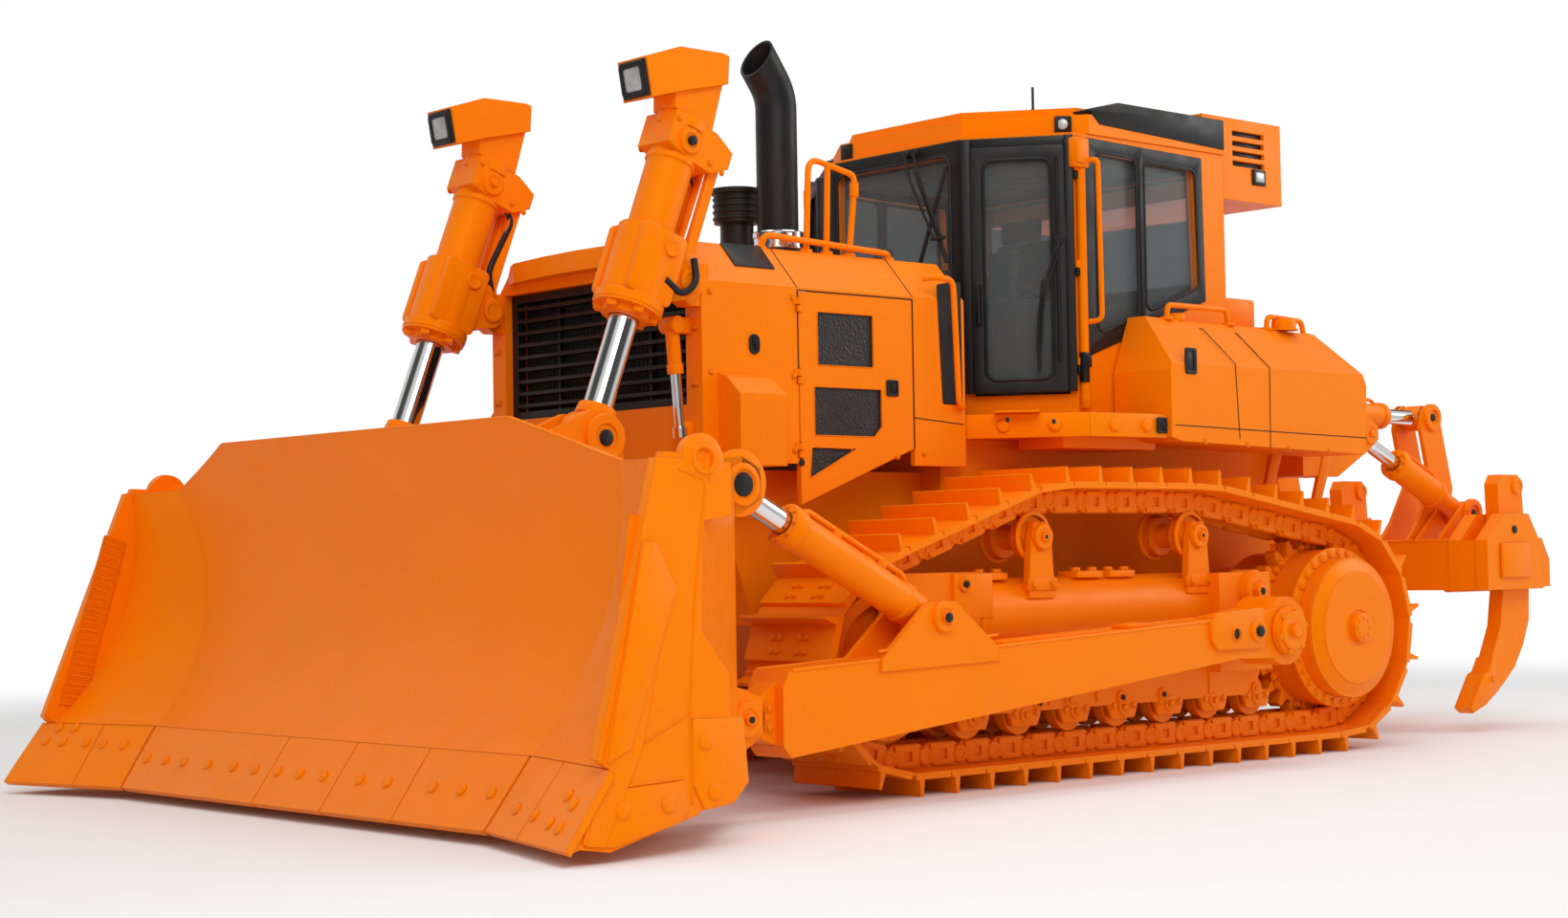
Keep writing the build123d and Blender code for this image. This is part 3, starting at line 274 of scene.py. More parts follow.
def edgeMaskGroup():
    # where the surface turns sharply, broken up by noise
    group, given, out = newGroup("edgeMask", (
        ("Width", "NodeSocketFloat", 0.008),
        ("Breakup Scale", "NodeSocketFloat", 14.0),
    ), (("Mask", "NodeSocketFloat"), ("Round Normal", "NodeSocketVector")))
    place = addNode(group, "ShaderNodeTexCoord", (-1200, -300))
    soft = addNode(group, "ShaderNodeBevel", (-1000, 0), samples=4)
    group.links.new(given.outputs["Width"], soft.inputs["Radius"])
    flat = addNode(group, "ShaderNodeNewGeometry", (-1000, -150))
    dot = addNode(group, "ShaderNodeVectorMath", (-800, 0), operation="DOT_PRODUCT")
    group.links.new(soft.outputs[0], dot.inputs[0])
    group.links.new(flat.outputs["Normal"], dot.inputs[1])
    sharp = rangeNode(group, dot.outputs["Value"], 0.99, 0.80, 0.0, 1.0, (-600, 0))
    grain = noiseNode(group, place.outputs["Object"], given.outputs["Breakup Scale"], 6, 0.65, (-800, -300))
    broken = rangeNode(group, grain, 0.48, 0.66, 0.0, 1.0, (-600, -300))
    group.links.new(mathNode(group, "MULTIPLY", sharp, broken, (-300, 0)), out.inputs["Mask"])
    group.links.new(soft.outputs[0], out.inputs["Round Normal"])
    return group


def dustGroup():
    # dust that settles on faces that look up and thickens towards the ground
    group, given, out = newGroup("dustMask", (
        ("Amount", "NodeSocketFloat", 0.3),
        ("Ground Height", "NodeSocketFloat", 0.9),
    ), (("Mask", "NodeSocketFloat"),))
    place = addNode(group, "ShaderNodeTexCoord", (-1200, 0))
    surface = addNode(group, "ShaderNodeNewGeometry", (-1200, -300))
    split = addNode(group, "ShaderNodeSeparateXYZ", (-1000, -300))
    group.links.new(surface.outputs["Normal"], split.inputs[0])
    where = addNode(group, "ShaderNodeSeparateXYZ", (-1000, 0))
    group.links.new(place.outputs["Object"], where.inputs[0])
    upward = rangeNode(group, split.outputs["Z"], 0.1, 1.0, 0.15, 1.0, (-800, -300))
    low = rangeNode(group, where.outputs["Z"], given.outputs["Ground Height"], 0.0, 0.0, 0.9, (-800, 0))
    cloud = noiseNode(group, place.outputs["Object"], 4.5, 7, 0.62, (-800, 200))
    patch = rangeNode(group, cloud, 0.42, 0.74, 0.0, 1.0, (-600, 200))
    both = mathNode(group, "MAXIMUM", upward, low, (-500, -100))
    spread = mathNode(group, "MULTIPLY", both, patch, (-300, 0))
    group.links.new(mathNode(group, "MULTIPLY", spread, given.outputs["Amount"], (-100, 0), True),
                    out.inputs["Mask"])
    return group


def coatGroup():
    # a sprayed coat: faint cloudiness in the colour, fine orange peel in the surface
    group, given, out = newGroup("sprayedCoat", (
        ("Colour", "NodeSocketColor", (0.8, 0.8, 0.8, 1)),
        ("Cloudiness", "NodeSocketFloat", 0.08),
        ("Peel Scale", "NodeSocketFloat", 90.0),
    ), (("Colour", "NodeSocketColor"), ("Smudge", "NodeSocketFloat"), ("Height", "NodeSocketFloat")))
    place = addNode(group, "ShaderNodeTexCoord", (-1200, 0))
    broad = noiseNode(group, place.outputs["Object"], 1.7, 4, 0.5, (-1000, 200))
    fine = noiseNode(group, place.outputs["Object"], given.outputs["Peel Scale"], 3, 0.5, (-1000, -200))
    smudge = noiseNode(group, place.outputs["Object"], 7.0, 8, 0.6, (-1000, 0))
    darker = mixColour(group, 1.0, given.outputs["Colour"], (0.80, 0.72, 0.60, 1), (-700, 200), "MULTIPLY")
    swing = rangeNode(group, broad, 0.35, 0.65, 0.0, given.outputs["Cloudiness"], (-700, 0))
    group.links.new(mixColour(group, swing, given.outputs["Colour"], darker, (-400, 200)),
                    out.inputs["Colour"])
    group.links.new(smudge, out.inputs["Smudge"])
    group.links.new(fine, out.inputs["Height"])
    return group


groups = {"edge": edgeMaskGroup(), "dust": dustGroup(), "coat": coatGroup()}


def placeGroup(tree, key, place, values):
    node = addNode(tree, "ShaderNodeGroup", place)
    node.node_tree = groups[key]
    setInputs(node, values)
    return node


def placeCoat(tree, look):
    values = {"Colour": look["colour"], "Cloudiness": look["cloud"], "Peel Scale": look["peel"]}
    return placeGroup(tree, "coat", (-900, 200), values)


def newMaterial(name):
    material = bpy.data.materials.new(name)
    material.use_nodes = True
    return material, material.node_tree, material.node_tree.nodes["Principled BSDF"]


# what the sprayed and moulded finishes share; each coat below names what it changes
plainCoat = {
    "smooth": 0.34, "rough": 0.52,     # roughness from, to
    "cloud": 0.3, "peel": 140,         # cloudiness of the colour, orange peel per metre
    "bump": 0.12, "metal": 0.0,
    "dust": 0.1, "wear": 0.3,          # shares of dust and of bared edges
    "shine": 0.3, "tint": (1, 1, 1, 1),
}
coats = {
    "orangePaint": {
        "colour": (1.0, 0.225, 0.0, 1), "worn": (0.62, 0.10, 0.006, 1), "tint": (1.0, 0.42, 0.06, 1),
        "smooth": 0.32, "rough": 0.44, "cloud": 0.14, "peel": 85, "bump": 0.10, "wear": 0.45, "shine": 0.28,
    },
    "blackCoat": {
        "colour": (0.011, 0.011, 0.012, 1), "worn": (0.07, 0.07, 0.07, 1), "dust": 0.12, "wear": 0.5,
    },
    "engineGrey": {
        "colour": (0.17, 0.17, 0.18, 1), "worn": (0.32, 0.31, 0.30, 1), "smooth": 0.45, "rough": 0.65,
        "cloud": 0.5, "peel": 60, "bump": 0.3, "dust": 0.4, "wear": 0.4, "shine": 0.4,
    },
    "rubberTrim": {
        "colour": (0.016, 0.016, 0.016, 1), "worn": (0.05, 0.05, 0.05, 1), "smooth": 0.62, "rough": 0.80,
        "peel": 220, "bump": 0.2, "dust": 0.3,
    },
    "seatFabric": {
        "colour": (0.030, 0.030, 0.032, 1), "worn": (0.07, 0.07, 0.07, 1), "smooth": 0.80, "rough": 0.95,
        "cloud": 0.4, "peel": 420, "bump": 0.5, "dust": 0.2, "wear": 0.2, "shine": 0.2,
    },
    "lampGlass": {
        "colour": (0.50, 0.51, 0.52, 1), "worn": (0.3, 0.3, 0.3, 1), "smooth": 0.22, "rough": 0.34,
        "cloud": 0.5, "peel": 30, "bump": 0.3, "metal": 0.35, "wear": 0.1, "shine": 0.6,
    },
    "pinSteel": {
        "colour": (0.42, 0.41, 0.40, 1), "worn": (0.20, 0.15, 0.11, 1), "smooth": 0.28, "rough": 0.50,
        "cloud": 0.5, "peel": 160, "bump": 0.15, "metal": 1.0, "dust": 0.15, "wear": 0.4, "shine": 0.5,
    },
}
coatShared = {
    "edgeWidth": 0.007, "breakup": 11.0,     # bared edges: metres, patches per metre
    "ground": 0.8,                           # height in metres below which dust thickens
    "dustColour": (0.42, 0.27, 0.15, 1), "dustRough": 0.35,
    "coatRough": 0.22, "peelDepth": 0.001,
}


def coatMaterial(name):
    values = {**plainCoat, **coatShared, **coats[name]}
    material, tree, skin = newMaterial(name)
    coat = placeCoat(tree, values)
    wear = {"Width": values["edgeWidth"], "Breakup Scale": values["breakup"]}
    edge = placeGroup(tree, "edge", (-900, 0), wear)
    settled = {"Amount": values["dust"], "Ground Height": values["ground"]}
    dust = placeGroup(tree, "dust", (-900, -200), settled)
    worn = mathNode(tree, "MULTIPLY", edge.outputs["Mask"], values["wear"], (-600, 0))
    colour = mixColour(tree, worn, coat.outputs["Colour"], values["worn"], (-500, 200))
    colour = mixColour(tree, dust.outputs["Mask"], colour, values["dustColour"], (-300, 200))
    tree.links.new(colour, skin.inputs["Base Color"])
    smudge = coat.outputs["Smudge"]
    gloss = rangeNode(tree, smudge, 0.35, 0.65, values["smooth"], values["rough"], (-500, -50))
    dusty = mathNode(tree, "MULTIPLY", dust.outputs["Mask"], values["dustRough"])
    tree.links.new(mathNode(tree, "ADD", gloss, dusty, (-300, -50), True), skin.inputs["Roughness"])
    setInputs(skin, {"Metallic": values["metal"], "Coat Roughness": values["coatRough"],
                     "Specular IOR Level": values["shine"], "Specular Tint": values["tint"]})
    bump = addNode(tree, "ShaderNodeBump", (-300, -300))
    setInputs(bump, {"Strength": values["bump"], "Distance": values["peelDepth"]})
    tree.links.new(coat.outputs["Height"], bump.inputs["Height"])
    tree.links.new(edge.outputs["Round Normal"], bump.inputs["Normal"])
    tree.links.new(bump.outputs[0], skin.inputs["Normal"])
    return material


chromeLook = {"colour": (0.78, 0.79, 0.80, 1), "smooth": 0.06, "rough": 0.20, "cloud": 0.25, "peel": 60}


def chromeMaterial():
    material, tree, skin = newMaterial("chrome")
    coat = placeCoat(tree, chromeLook)
    tree.links.new(coat.outputs["Colour"], skin.inputs["Base Color"])
    gloss = rangeNode(tree, coat.outputs["Smudge"], 0.4, 0.7, chromeLook["smooth"], chromeLook["rough"])
    tree.links.new(gloss, skin.inputs["Roughness"])
    setInputs(skin, {"Metallic": 1.0})
    return material


glassLook = {
    "colour": (0.74, 0.80, 0.82, 1), "cloud": 0.2, "peel": 3.0,
    "lit": (0.85, 0.90, 0.91, 1),      # tint of the light that falls through a pane
    "smooth": 0.0, "rough": 0.03,
    "through": 0.94, "bending": 1.12,  # a thin pane bends light very little
}


def glassMaterial():
    material, tree, skin = newMaterial("tintedGlass")
    coat = placeCoat(tree, glassLook)
    tree.links.new(coat.outputs["Colour"], skin.inputs["Base Color"])
    gloss = rangeNode(tree, coat.outputs["Smudge"], 0.45, 0.8, glassLook["smooth"], glassLook["rough"])
    tree.links.new(gloss, skin.inputs["Roughness"])
    setInputs(skin, {"Metallic": 0.0, "Transmission Weight": glassLook["through"]})
    setInputs(skin, {"IOR": glassLook["bending"]})
    # the lamps and the sky shine straight through the panes
    path = addNode(tree, "ShaderNodeLightPath", (0, 400))
    shadow, diffuse = path.outputs["Is Shadow Ray"], path.outputs["Is Diffuse Ray"]
    share = mathNode(tree, "MAXIMUM", shadow, diffuse, (200, 400))
    clear = addNode(tree, "ShaderNodeBsdfTransparent", (200, 200))
    setInputs(clear, {"Color": glassLook["lit"]})
    mix = addNode(tree, "ShaderNodeMixShader", (500, 200))
    tree.links.new(share, mix.inputs[0])
    tree.links.new(skin.outputs[0], mix.inputs[1])
    tree.links.new(clear.outputs[0], mix.inputs[2])
    tree.links.new(mix.outputs[0], tree.nodes["Material Output"].inputs[0])
    return material


meshLook = {
    "dark": (0.012, 0.011, 0.010, 1), "light": (0.085, 0.045, 0.028, 1), "cells": 95.0,
    "smooth": 0.38, "rough": 0.6, "bump": 0.8, "depth": 0.004,
}


def meshMaterial():
    # pressed wire mesh: rounded cells with a brown tint between them
    material, tree, skin = newMaterial("blackMesh")
    place = addNode(tree, "ShaderNodeTexCoord", (-1100, 0))
    cells = addNode(tree, "ShaderNodeTexVoronoi", (-900, 0), feature="SMOOTH_F1")
    setInputs(cells, {"Scale": meshLook["cells"]})
    tree.links.new(place.outputs["Object"], cells.inputs["Vector"])
    lifted = rangeNode(tree, cells.outputs["Distance"], 0.1, 0.75, 1.0, 0.0, (-700, 0))
    edge = rangeNode(tree, lifted, 0.55, 0.9, 0.0, 0.55, (-500, 100))
    broad = noiseNode(tree, place.outputs["Object"], 3.0, 3, 0.5, (-900, -300))
    tint = mathNode(tree, "MULTIPLY", edge, broad, (-300, 100))
    colour = mixColour(tree, tint, meshLook["dark"], meshLook["light"], (-100, 100))
    tree.links.new(colour, skin.inputs["Base Color"])
    gloss = rangeNode(tree, broad, 0.3, 0.7, meshLook["smooth"], meshLook["rough"], (-300, -100))
    tree.links.new(gloss, skin.inputs["Roughness"])
    bump = addNode(tree, "ShaderNodeBump", (-200, -300))
    setInputs(bump, {"Strength": meshLook["bump"], "Distance": meshLook["depth"]})
    tree.links.new(lifted, bump.inputs["Height"])
    tree.links.new(bump.outputs[0], skin.inputs["Normal"])
    return material


materials = {name: coatMaterial(name) for name in coats}
materials["chrome"] = chromeMaterial()
materials["tintedGlass"] = glassMaterial()
materials["blackMesh"] = meshMaterial()

# every node that isn't painted orange
nodesOf = {
    "blackCoat": ("grille", "exhaust", "pre_cleaner", "roof_cover", "cab_door_left", "cab_door_right"),
    "tintedGlass": ("cab_glass", "door_glass_left", "door_glass_right"),
    "engineGrey": ("engine_block",),
    "rubberTrim": ("console", "seat"),
    "chrome": ("lift_rod_left", "lift_rod_right", "tilt_rod_left", "tilt_rod_right", "ram_rods",
               "upper_rods"),
    "pinSteel": ("ripper_pins",),
}
finishOf = {name: finish for finish, names in nodesOf.items() for name in names}
for name, node in nodes.items():
    finish = materials[finishOf.get(name, "orangePaint")]
    if not node.data.materials:
        node.data.materials.append(finish)
    for slot in node.material_slots:
        slot.material = finish
print("finishes on", len(nodes), "nodes")


# shapes are drawn in millimetres and turned into metres when a piece is finished
milli = 0.001
scratch = bpy.data.meshes.new("scratch")


def pour(part, into, matrix=None):
    if matrix is not None:
        bmesh.ops.transform(part, matrix=matrix, verts=part.verts)
    bmesh.ops.recalc_face_normals(part, faces=part.faces)
    part.to_mesh(scratch)
    part.free()
    into.from_mesh(scratch)


def leaning(degrees, axis):
    return Matrix.Rotation(math.radians(degrees), 4, axis)


def turned(direction, across=None):
    # rotation whose Z runs along the direction, and whose X leans towards across
    ahead = Vector(direction).normalized()
    side = Vector(across) if across is not None else ahead.orthogonal()
    side = (side - ahead * side.dot(ahead)).normalized()
    return Matrix((side, ahead.cross(side), ahead)).transposed().to_4x4()


def soften(part, width, steps=2, sharper=0.6):
    edges = [e for e in part.edges if len(e.link_faces) == 2 and e.calc_face_angle(0) > sharper]
    if width and edges:
        bmesh.ops.bevel(part, geom=edges, offset=width, offset_type="OFFSET", segments=steps, profile=0.5,
                        affect="EDGES", material=-1, clamp_overlap=True)


def addDrum(bm, start, end, radius, tip=None, sides=24, soft=0.0):
    start, end = Vector(start), Vector(end)
    part = bmesh.new()
    bmesh.ops.create_cone(part, cap_ends=True, segments=sides, radius1=radius,
                          radius2=radius if tip is None else tip, depth=(end - start).length)
    soften(part, soft)
    pour(part, bm, Matrix.Translation((start + end) / 2) @ turned(end - start))


def addBlock(bm, centre, size, turn=None, soft=4.0, steps=2):
    part = bmesh.new()
    bmesh.ops.create_cube(part, size=1.0, matrix=Matrix.Diagonal((*size, 1)))
    soften(part, soft, steps)
    pour(part, bm, Matrix.Translation(centre) @ (turn or Matrix()))


def roundedLoop(corners, radius, steps=5):
    # the outline with an arc at every corner
    loop = []
    count = len(corners)
    for i in range(count):
        before, here, after = (Vector(corners[(i + k) % count]) for k in (-1, 0, 1))
        back, ahead = (before - here).normalized(), (after - here).normalized()
        half = back.angle(ahead) / 2
        reach = radius / math.tan(half)
        middle = here + (back + ahead).normalized() * radius / math.sin(half)
        first, last = here + back * reach - middle, here + ahead * reach - middle
        for k in range(steps + 1):
            spoke = first.slerp(last, k / steps, first).normalized() if steps else -first / radius
            loop.append(middle + spoke * radius if steps else here)
    return loop


def drawLoop(part, points):
    verts = [part.verts.new((p[0], p[1], 0)) for p in points]
    return verts, [part.edges.new(pair) for pair in zip(verts, verts[1:] + verts[:1])]


def thicken(part, thickness, soft):
    made = bmesh.ops.extrude_face_region(part, geom=part.faces[:])
    raised = [v for v in made["geom"] if isinstance(v, bmesh.types.BMVert)]
    bmesh.ops.translate(part, verts=raised, vec=(0, 0, thickness))
    bmesh.ops.recalc_face_normals(part, faces=part.faces)
    soften(part, soft, sharper=1.0)


def addPlate(bm, corners, thickness, matrix, round=0.0, soft=2.0):
    # flat outline on the matrix's XY plane, thickened along its Z
    part = bmesh.new()
    verts = drawLoop(part, roundedLoop(corners, round) if round else corners)[0]
    part.faces.new(verts)
    thicken(part, thickness, soft)
    pour(part, bm, matrix)


def addRing(bm, outer, inner, thickness, matrix, rounds=(0.1, 40.0), soft=2.0, steps=5):
    # plate between two outlines, each with its own corner radius
    part = bmesh.new()
    edges = []
    for corners, radius in zip((outer, inner), rounds):
        edges += drawLoop(part, roundedLoop(corners, radius, steps))[1]
    bmesh.ops.bridge_loops(part, edges=edges)
    thicken(part, thickness, soft)
    pour(part, bm, matrix)


def bentPath(points, radius, steps=5):
    # the open path with its inner corners rounded
    points = [Vector(p) for p in points]
    path = [points[0]]
    for before, here, after in zip(points, points[1:], points[2:]):
        back, ahead = (before - here).normalized(), (after - here).normalized()
        reach = min(radius, (before - here).length * 0.45, (after - here).length * 0.45)
        for k in range(steps + 1):
            t = k / steps
            path.append(here + back * reach * (1 - t) ** 2 + ahead * reach * t ** 2)
    return path + [points[-1]]


def addTube(bm, points, radius, bend=30.0, sides=10, closed=False):
    path = [Vector(p) for p in points] if closed else bentPath(points, bend)
    if closed:
        path = path + path[:2]
    part = bmesh.new()
    heading = (path[1] - path[0]).normalized()
    across = heading.orthogonal()
    frame = Matrix.Translation(path[0]) @ turned(heading, across)
    bmesh.ops.create_circle(part, cap_ends=not closed, segments=sides, radius=radius, matrix=frame)
    edges = part.edges[:]
    for i in range(1, len(path)):
        ahead = (path[min(i + 1, len(path) - 1)] - path[i - 1]).normalized()
        across = across - ahead * across.dot(ahead)
        moved = Matrix.Translation(path[i]) @ turned(ahead, across)
        made = bmesh.ops.extrude_edge_only(part, edges=edges)["geom"]
        verts = [v for v in made if isinstance(v, bmesh.types.BMVert)]
        bmesh.ops.transform(part, matrix=moved @ frame.inverted(), verts=verts)
        fresh = set(verts)
        edges = [e for e in made if isinstance(e, bmesh.types.BMEdge) and set(e.verts) <= fresh]
        frame = moved
    if not closed:
        bmesh.ops.contextual_create(part, geom=edges)
    bmesh.ops.remove_doubles(part, verts=part.verts, dist=0.01)
    pour(part, bm)


def addLathe(bm, profile, start, direction, sides=32):
    # profile of (radius, distance along the direction)
    part = bmesh.new()
    verts = [part.verts.new((r, 0, d)) for r, d in profile]
    edges = [part.edges.new(pair) for pair in zip(verts, verts[1:])]
    bmesh.ops.spin(part, geom=verts + edges, cent=(0, 0, 0), axis=(0, 0, 1), angle=math.tau, steps=sides,
                   use_merge=True, use_duplicate=False)
    bmesh.ops.remove_doubles(part, verts=part.verts, dist=0.01)
    pour(part, bm, Matrix.Translation(start) @ turned(direction))


def stamp(bm, mesh, matrix):
    mesh.transform(matrix)
    bm.from_mesh(mesh)
    mesh.transform(matrix.inverted())


def finishMesh(name, part):
    mesh = bpy.data.meshes.new(name)
    part.to_mesh(mesh)
    part.free()
    return mesh


def boltMesh(across, height, washer=0.0):
    # hexagon head on a thin washer, standing on z = 0
    part = bmesh.new()
    if washer:
        bmesh.ops.create_cone(part, cap_ends=True, segments=14, radius1=washer, radius2=washer * 0.94,
                              depth=4, matrix=Matrix.Translation((0, 0, 2)))
    bmesh.ops.create_cone(part, cap_ends=True, segments=6, radius1=across, radius2=across,
                          depth=height * 0.7, matrix=Matrix.Translation((0, 0, height * 0.35)))
    bmesh.ops.create_cone(part, cap_ends=True, segments=6, radius1=across, radius2=across * 0.86,
                          depth=height * 0.3, matrix=Matrix.Translation((0, 0, height * 0.85)))
    return finishMesh("bolt", part)


def domeMesh(radius, height):
    # low round head
    part = bmesh.new()
    for low, high, wide, narrow in ((0, 0.55, 1, 0.94), (0.55, 0.9, 0.94, 0.7), (0.9, 1, 0.7, 0.3)):
        middle = Matrix.Translation((0, 0, (low + high) / 2 * height))
        bmesh.ops.create_cone(part, cap_ends=True, segments=12, radius1=radius * wide,
                              radius2=radius * narrow, depth=(high - low) * height, matrix=middle)
    return finishMesh("dome", part)


bolts = {
    # hexagon heads: half width, height, radius of the washer
    "small": boltMesh(10, 9, 15), "middle": boltMesh(17, 14, 25), "large": boltMesh(25, 20, 36),
    "shoe": boltMesh(17, 15),
    # round heads: radius, height
    "dome": domeMesh(34, 22), "button": domeMesh(13, 7), "edge": domeMesh(27, 13),
}


def addBolts(bm, size, places, direction):
    turn = turned(direction)
    for place in places:
        stamp(bm, bolts[size], Matrix.Translation(place) @ turn)


def circleOf(centre, direction, radius, count, start=0.0, across=None):
    turn = turned(direction, across)
    return [Vector(centre) + turn @ Vector((radius * math.cos(a), radius * math.sin(a), 0))
            for a in (start + math.tau * i / count for i in range(count))]


def mirrorAcross(bm):
    # adds the other side's half
    made = bmesh.ops.duplicate(bm, geom=bm.verts[:] + bm.edges[:] + bm.faces[:])["geom"]
    bmesh.ops.scale(bm, vec=(1, -1, 1), verts=[g for g in made if isinstance(g, bmesh.types.BMVert)])
    bmesh.ops.reverse_faces(bm, faces=[g for g in made if isinstance(g, bmesh.types.BMFace)])


def finishPiece(name, bm, body, finish, both=False, crease=38.0, keep=False):
    if both:
        mirrorAcross(bm)
    mesh = bpy.data.meshes.new(name)
    bm.to_mesh(mesh)
    if not keep:
        bm.free()
    mesh.transform(Matrix.Scale(milli, 4))
    mesh.shade_smooth()
    mesh.set_sharp_from_angle(angle=math.radians(crease))
    mesh.materials.append(materials[finish])
    piece = bpy.data.objects.new(name, mesh)
    bpy.context.scene.collection.objects.link(piece)
    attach(piece, body)
    return piece


def finishPair(name, bm, body, finish, crease=38.0):
    # one piece on the left body and its mirror on the right one
    finishPiece(name + "Left", bm, body + "_left", finish, crease=crease, keep=True)
    bmesh.ops.scale(bm, vec=(1, -1, 1), verts=bm.verts)
    bmesh.ops.reverse_faces(bm, faces=bm.faces)
    finishPiece(name + "Right", bm, body + "_right", finish, crease=crease)


def sideFrame(y):
    # outline (x, z) on an upright plane, thickness outwards to the left
    return Matrix(((1, 0, 0, 0), (0, 0, 1, y), (0, 1, 0, 0), (0, 0, 0, 1)))


def frontFrame(x):
    # outline (y, z) on an upright plane, thickness forwards
    return Matrix(((0, 0, 1, x), (1, 0, 0, 0), (0, 1, 0, 0), (0, 0, 0, 1)))


def rectangle(left, right, low, high):
    return [(left, low), (right, low), (right, high), (left, high)]


def addCap(bm, centre, radius, height, hexagon, direction=(0, 1, 0)):
    # stepped round cap with a hexagon head
    addLathe(bm, [(radius, 0), (radius, height * 0.7), (radius * 0.93, height), (radius * 0.62, height),
                  (radius * 0.55, height * 0.8), (1, height * 0.8)], centre, direction, 32)
    top = Vector(centre) + Vector(direction).normalized() * height * 0.8
    addDrum(bm, top, top + Vector(direction).normalized() * hexagon * 0.7, hexagon, sides=6, soft=2)


def addLatch(bm, middle, wide, high, corner):
    x, y, z = middle
    outer = rectangle(x - wide / 2, x + wide / 2, z - high / 2, z + high / 2)
    inner = rectangle(x - wide / 2 + 12, x + wide / 2 - 12, z - high / 2 + 12, z + high / 2 - 12)
    addRing(bm, outer, inner, 8, sideFrame(y), (corner, corner * 0.5))
    addPlate(bm, inner, 3, sideFrame(y), soft=1)
    addBlock(bm, (x - wide * 0.08, y + 6, z), (wide * 0.2, 10, high * 0.5), soft=3)


shapes = {"block": addBlock, "drum": addDrum, "tube": addTube, "lathe": addLathe, "plate": addPlate,
          "ring": addRing, "cap": addCap, "bolts": addBolts, "latch": addLatch}


def drawParts(parts, bm=None):
    # parts are named rows: the kind of shape, then its values in the order of that shape's function
    bm = bm or bmesh.new()
    for kind, *values in parts.values():
        shapes[kind](bm, *values)
    return bm


# the angled door faces: across (from the nose backwards), up, outwards
doorFace = {"middle": (130, 725), "across": (-0.603, 0.798), "outward": (0.798, 0.603), "height": 2500}


def doorFrame(outwards):
    out, across = Vector((*doorFace["outward"], 0)), Vector((*doorFace["across"], 0))
    origin = Vector((*doorFace["middle"], doorFace["height"])) + out * outwards
    return Matrix.Translation(origin) @ Matrix((across, Vector((0, 0, 1)), out)).transposed().to_4x4()


windows = {
    # outline, pane, place along X, corner of the pane
    "nose": (rectangle(-499, 499, 1880, 3178), rectangle(-418, 418, 1972, 3108), 301, 55),
    "rear": (rectangle(-860, 860, 2430, 3165), rectangle(-760, 760, 2520, 3085), 1241, 55),
    # outline, pane
    "sides": (([(-62, 2040), (-543, 2206), (-543, 3162), (-62, 3172)],
               [(-196, 2170), (-512, 2284), (-512, 3098), (-206, 3104)]),
              ([(-543, 2206), (-1062, 2393), (-1050, 3152), (-543, 3162)],
               [(-574, 2306), (-1006, 2462), (-990, 3082), (-574, 3090)])),
    "sideY": 947, "sideCorner": 42, "sideThick": 10,
    "frameThick": 7, "gasket": 7,
    # black posts round the door, on its face
    "postBefore": ("plate", rectangle(-282, -236, -618, 668), 40, doorFrame(1), 0, 3),
    "postBehind": ("plate", rectangle(238, 280, -618, 672), 42, doorFrame(1), 0, 3),
    "postAbove": ("plate", rectangle(-280, 280, 624, 676), 8, doorFrame(1)),
    "middlePost": ("block", (-543, 958, 2700), (26, 14, 820)),
}


def addGasket(bm, pane, corner, place):
    addTube(bm, [place @ p.to_3d() for p in roundedLoop(pane, corner)], windows["gasket"], closed=True)


def cabWindows():
    thick = windows["frameThick"]
    bm = drawParts({"post": windows["postBefore"]})
    outer, pane, place, corner = windows["nose"]
    addRing(bm, outer, pane, thick, frontFrame(place), (2, corner))
    addGasket(bm, pane, corner, frontFrame(place + thick))
    outer, pane, place, corner = windows["rear"]
    addRing(bm, outer, pane, thick, frontFrame(-place - thick), (2, corner))
    finishPiece("cabFrontFrame", bm, "hull", "blackCoat")
    bm = drawParts({key: windows[key] for key in ("postBehind", "postAbove", "middlePost")})
    y, corner, thick = windows["sideY"], windows["sideCorner"], windows["sideThick"]
    for outer, pane in windows["sides"]:
        addRing(bm, outer, pane, thick, sideFrame(y), (0.5, corner))
        addGasket(bm, pane, corner, sideFrame(y + thick))
    finishPiece("cabSideFrames", bm, "hull", "blackCoat", both=True)


doorTrim = {
    # places on the door's face: x from the nose backwards, z up from its middle, height off the face
    "outline": rectangle(-238, 238, -622, 622), "pane": rectangle(-170, 168, -556, 556),
    "corners": (14, 52), "face": 46, "thick": 9, "bead": 8,
    "grabX": 200, "grabs": ((-470, 60), (120, 560)),
    "handle": (-204, -170, 20), "handleSize": (30, 26, 210),
    "wiperFoot": (206, 140, 0), "wiperPivot": (206, 140, 24),
    "wiperArm": ((188, 60, 34), (112, -160, 30), (96, -420, 22)), "armGap": 9,
    "wiperBlade": ((122, -60, 14), (98, -300, 14), (94, -520, 14)),
}


def onDoor(point, shift=0):
    x, z, lift = point
    return doorFrame(doorTrim["face"] + lift) @ Vector((x + shift, z, 0))


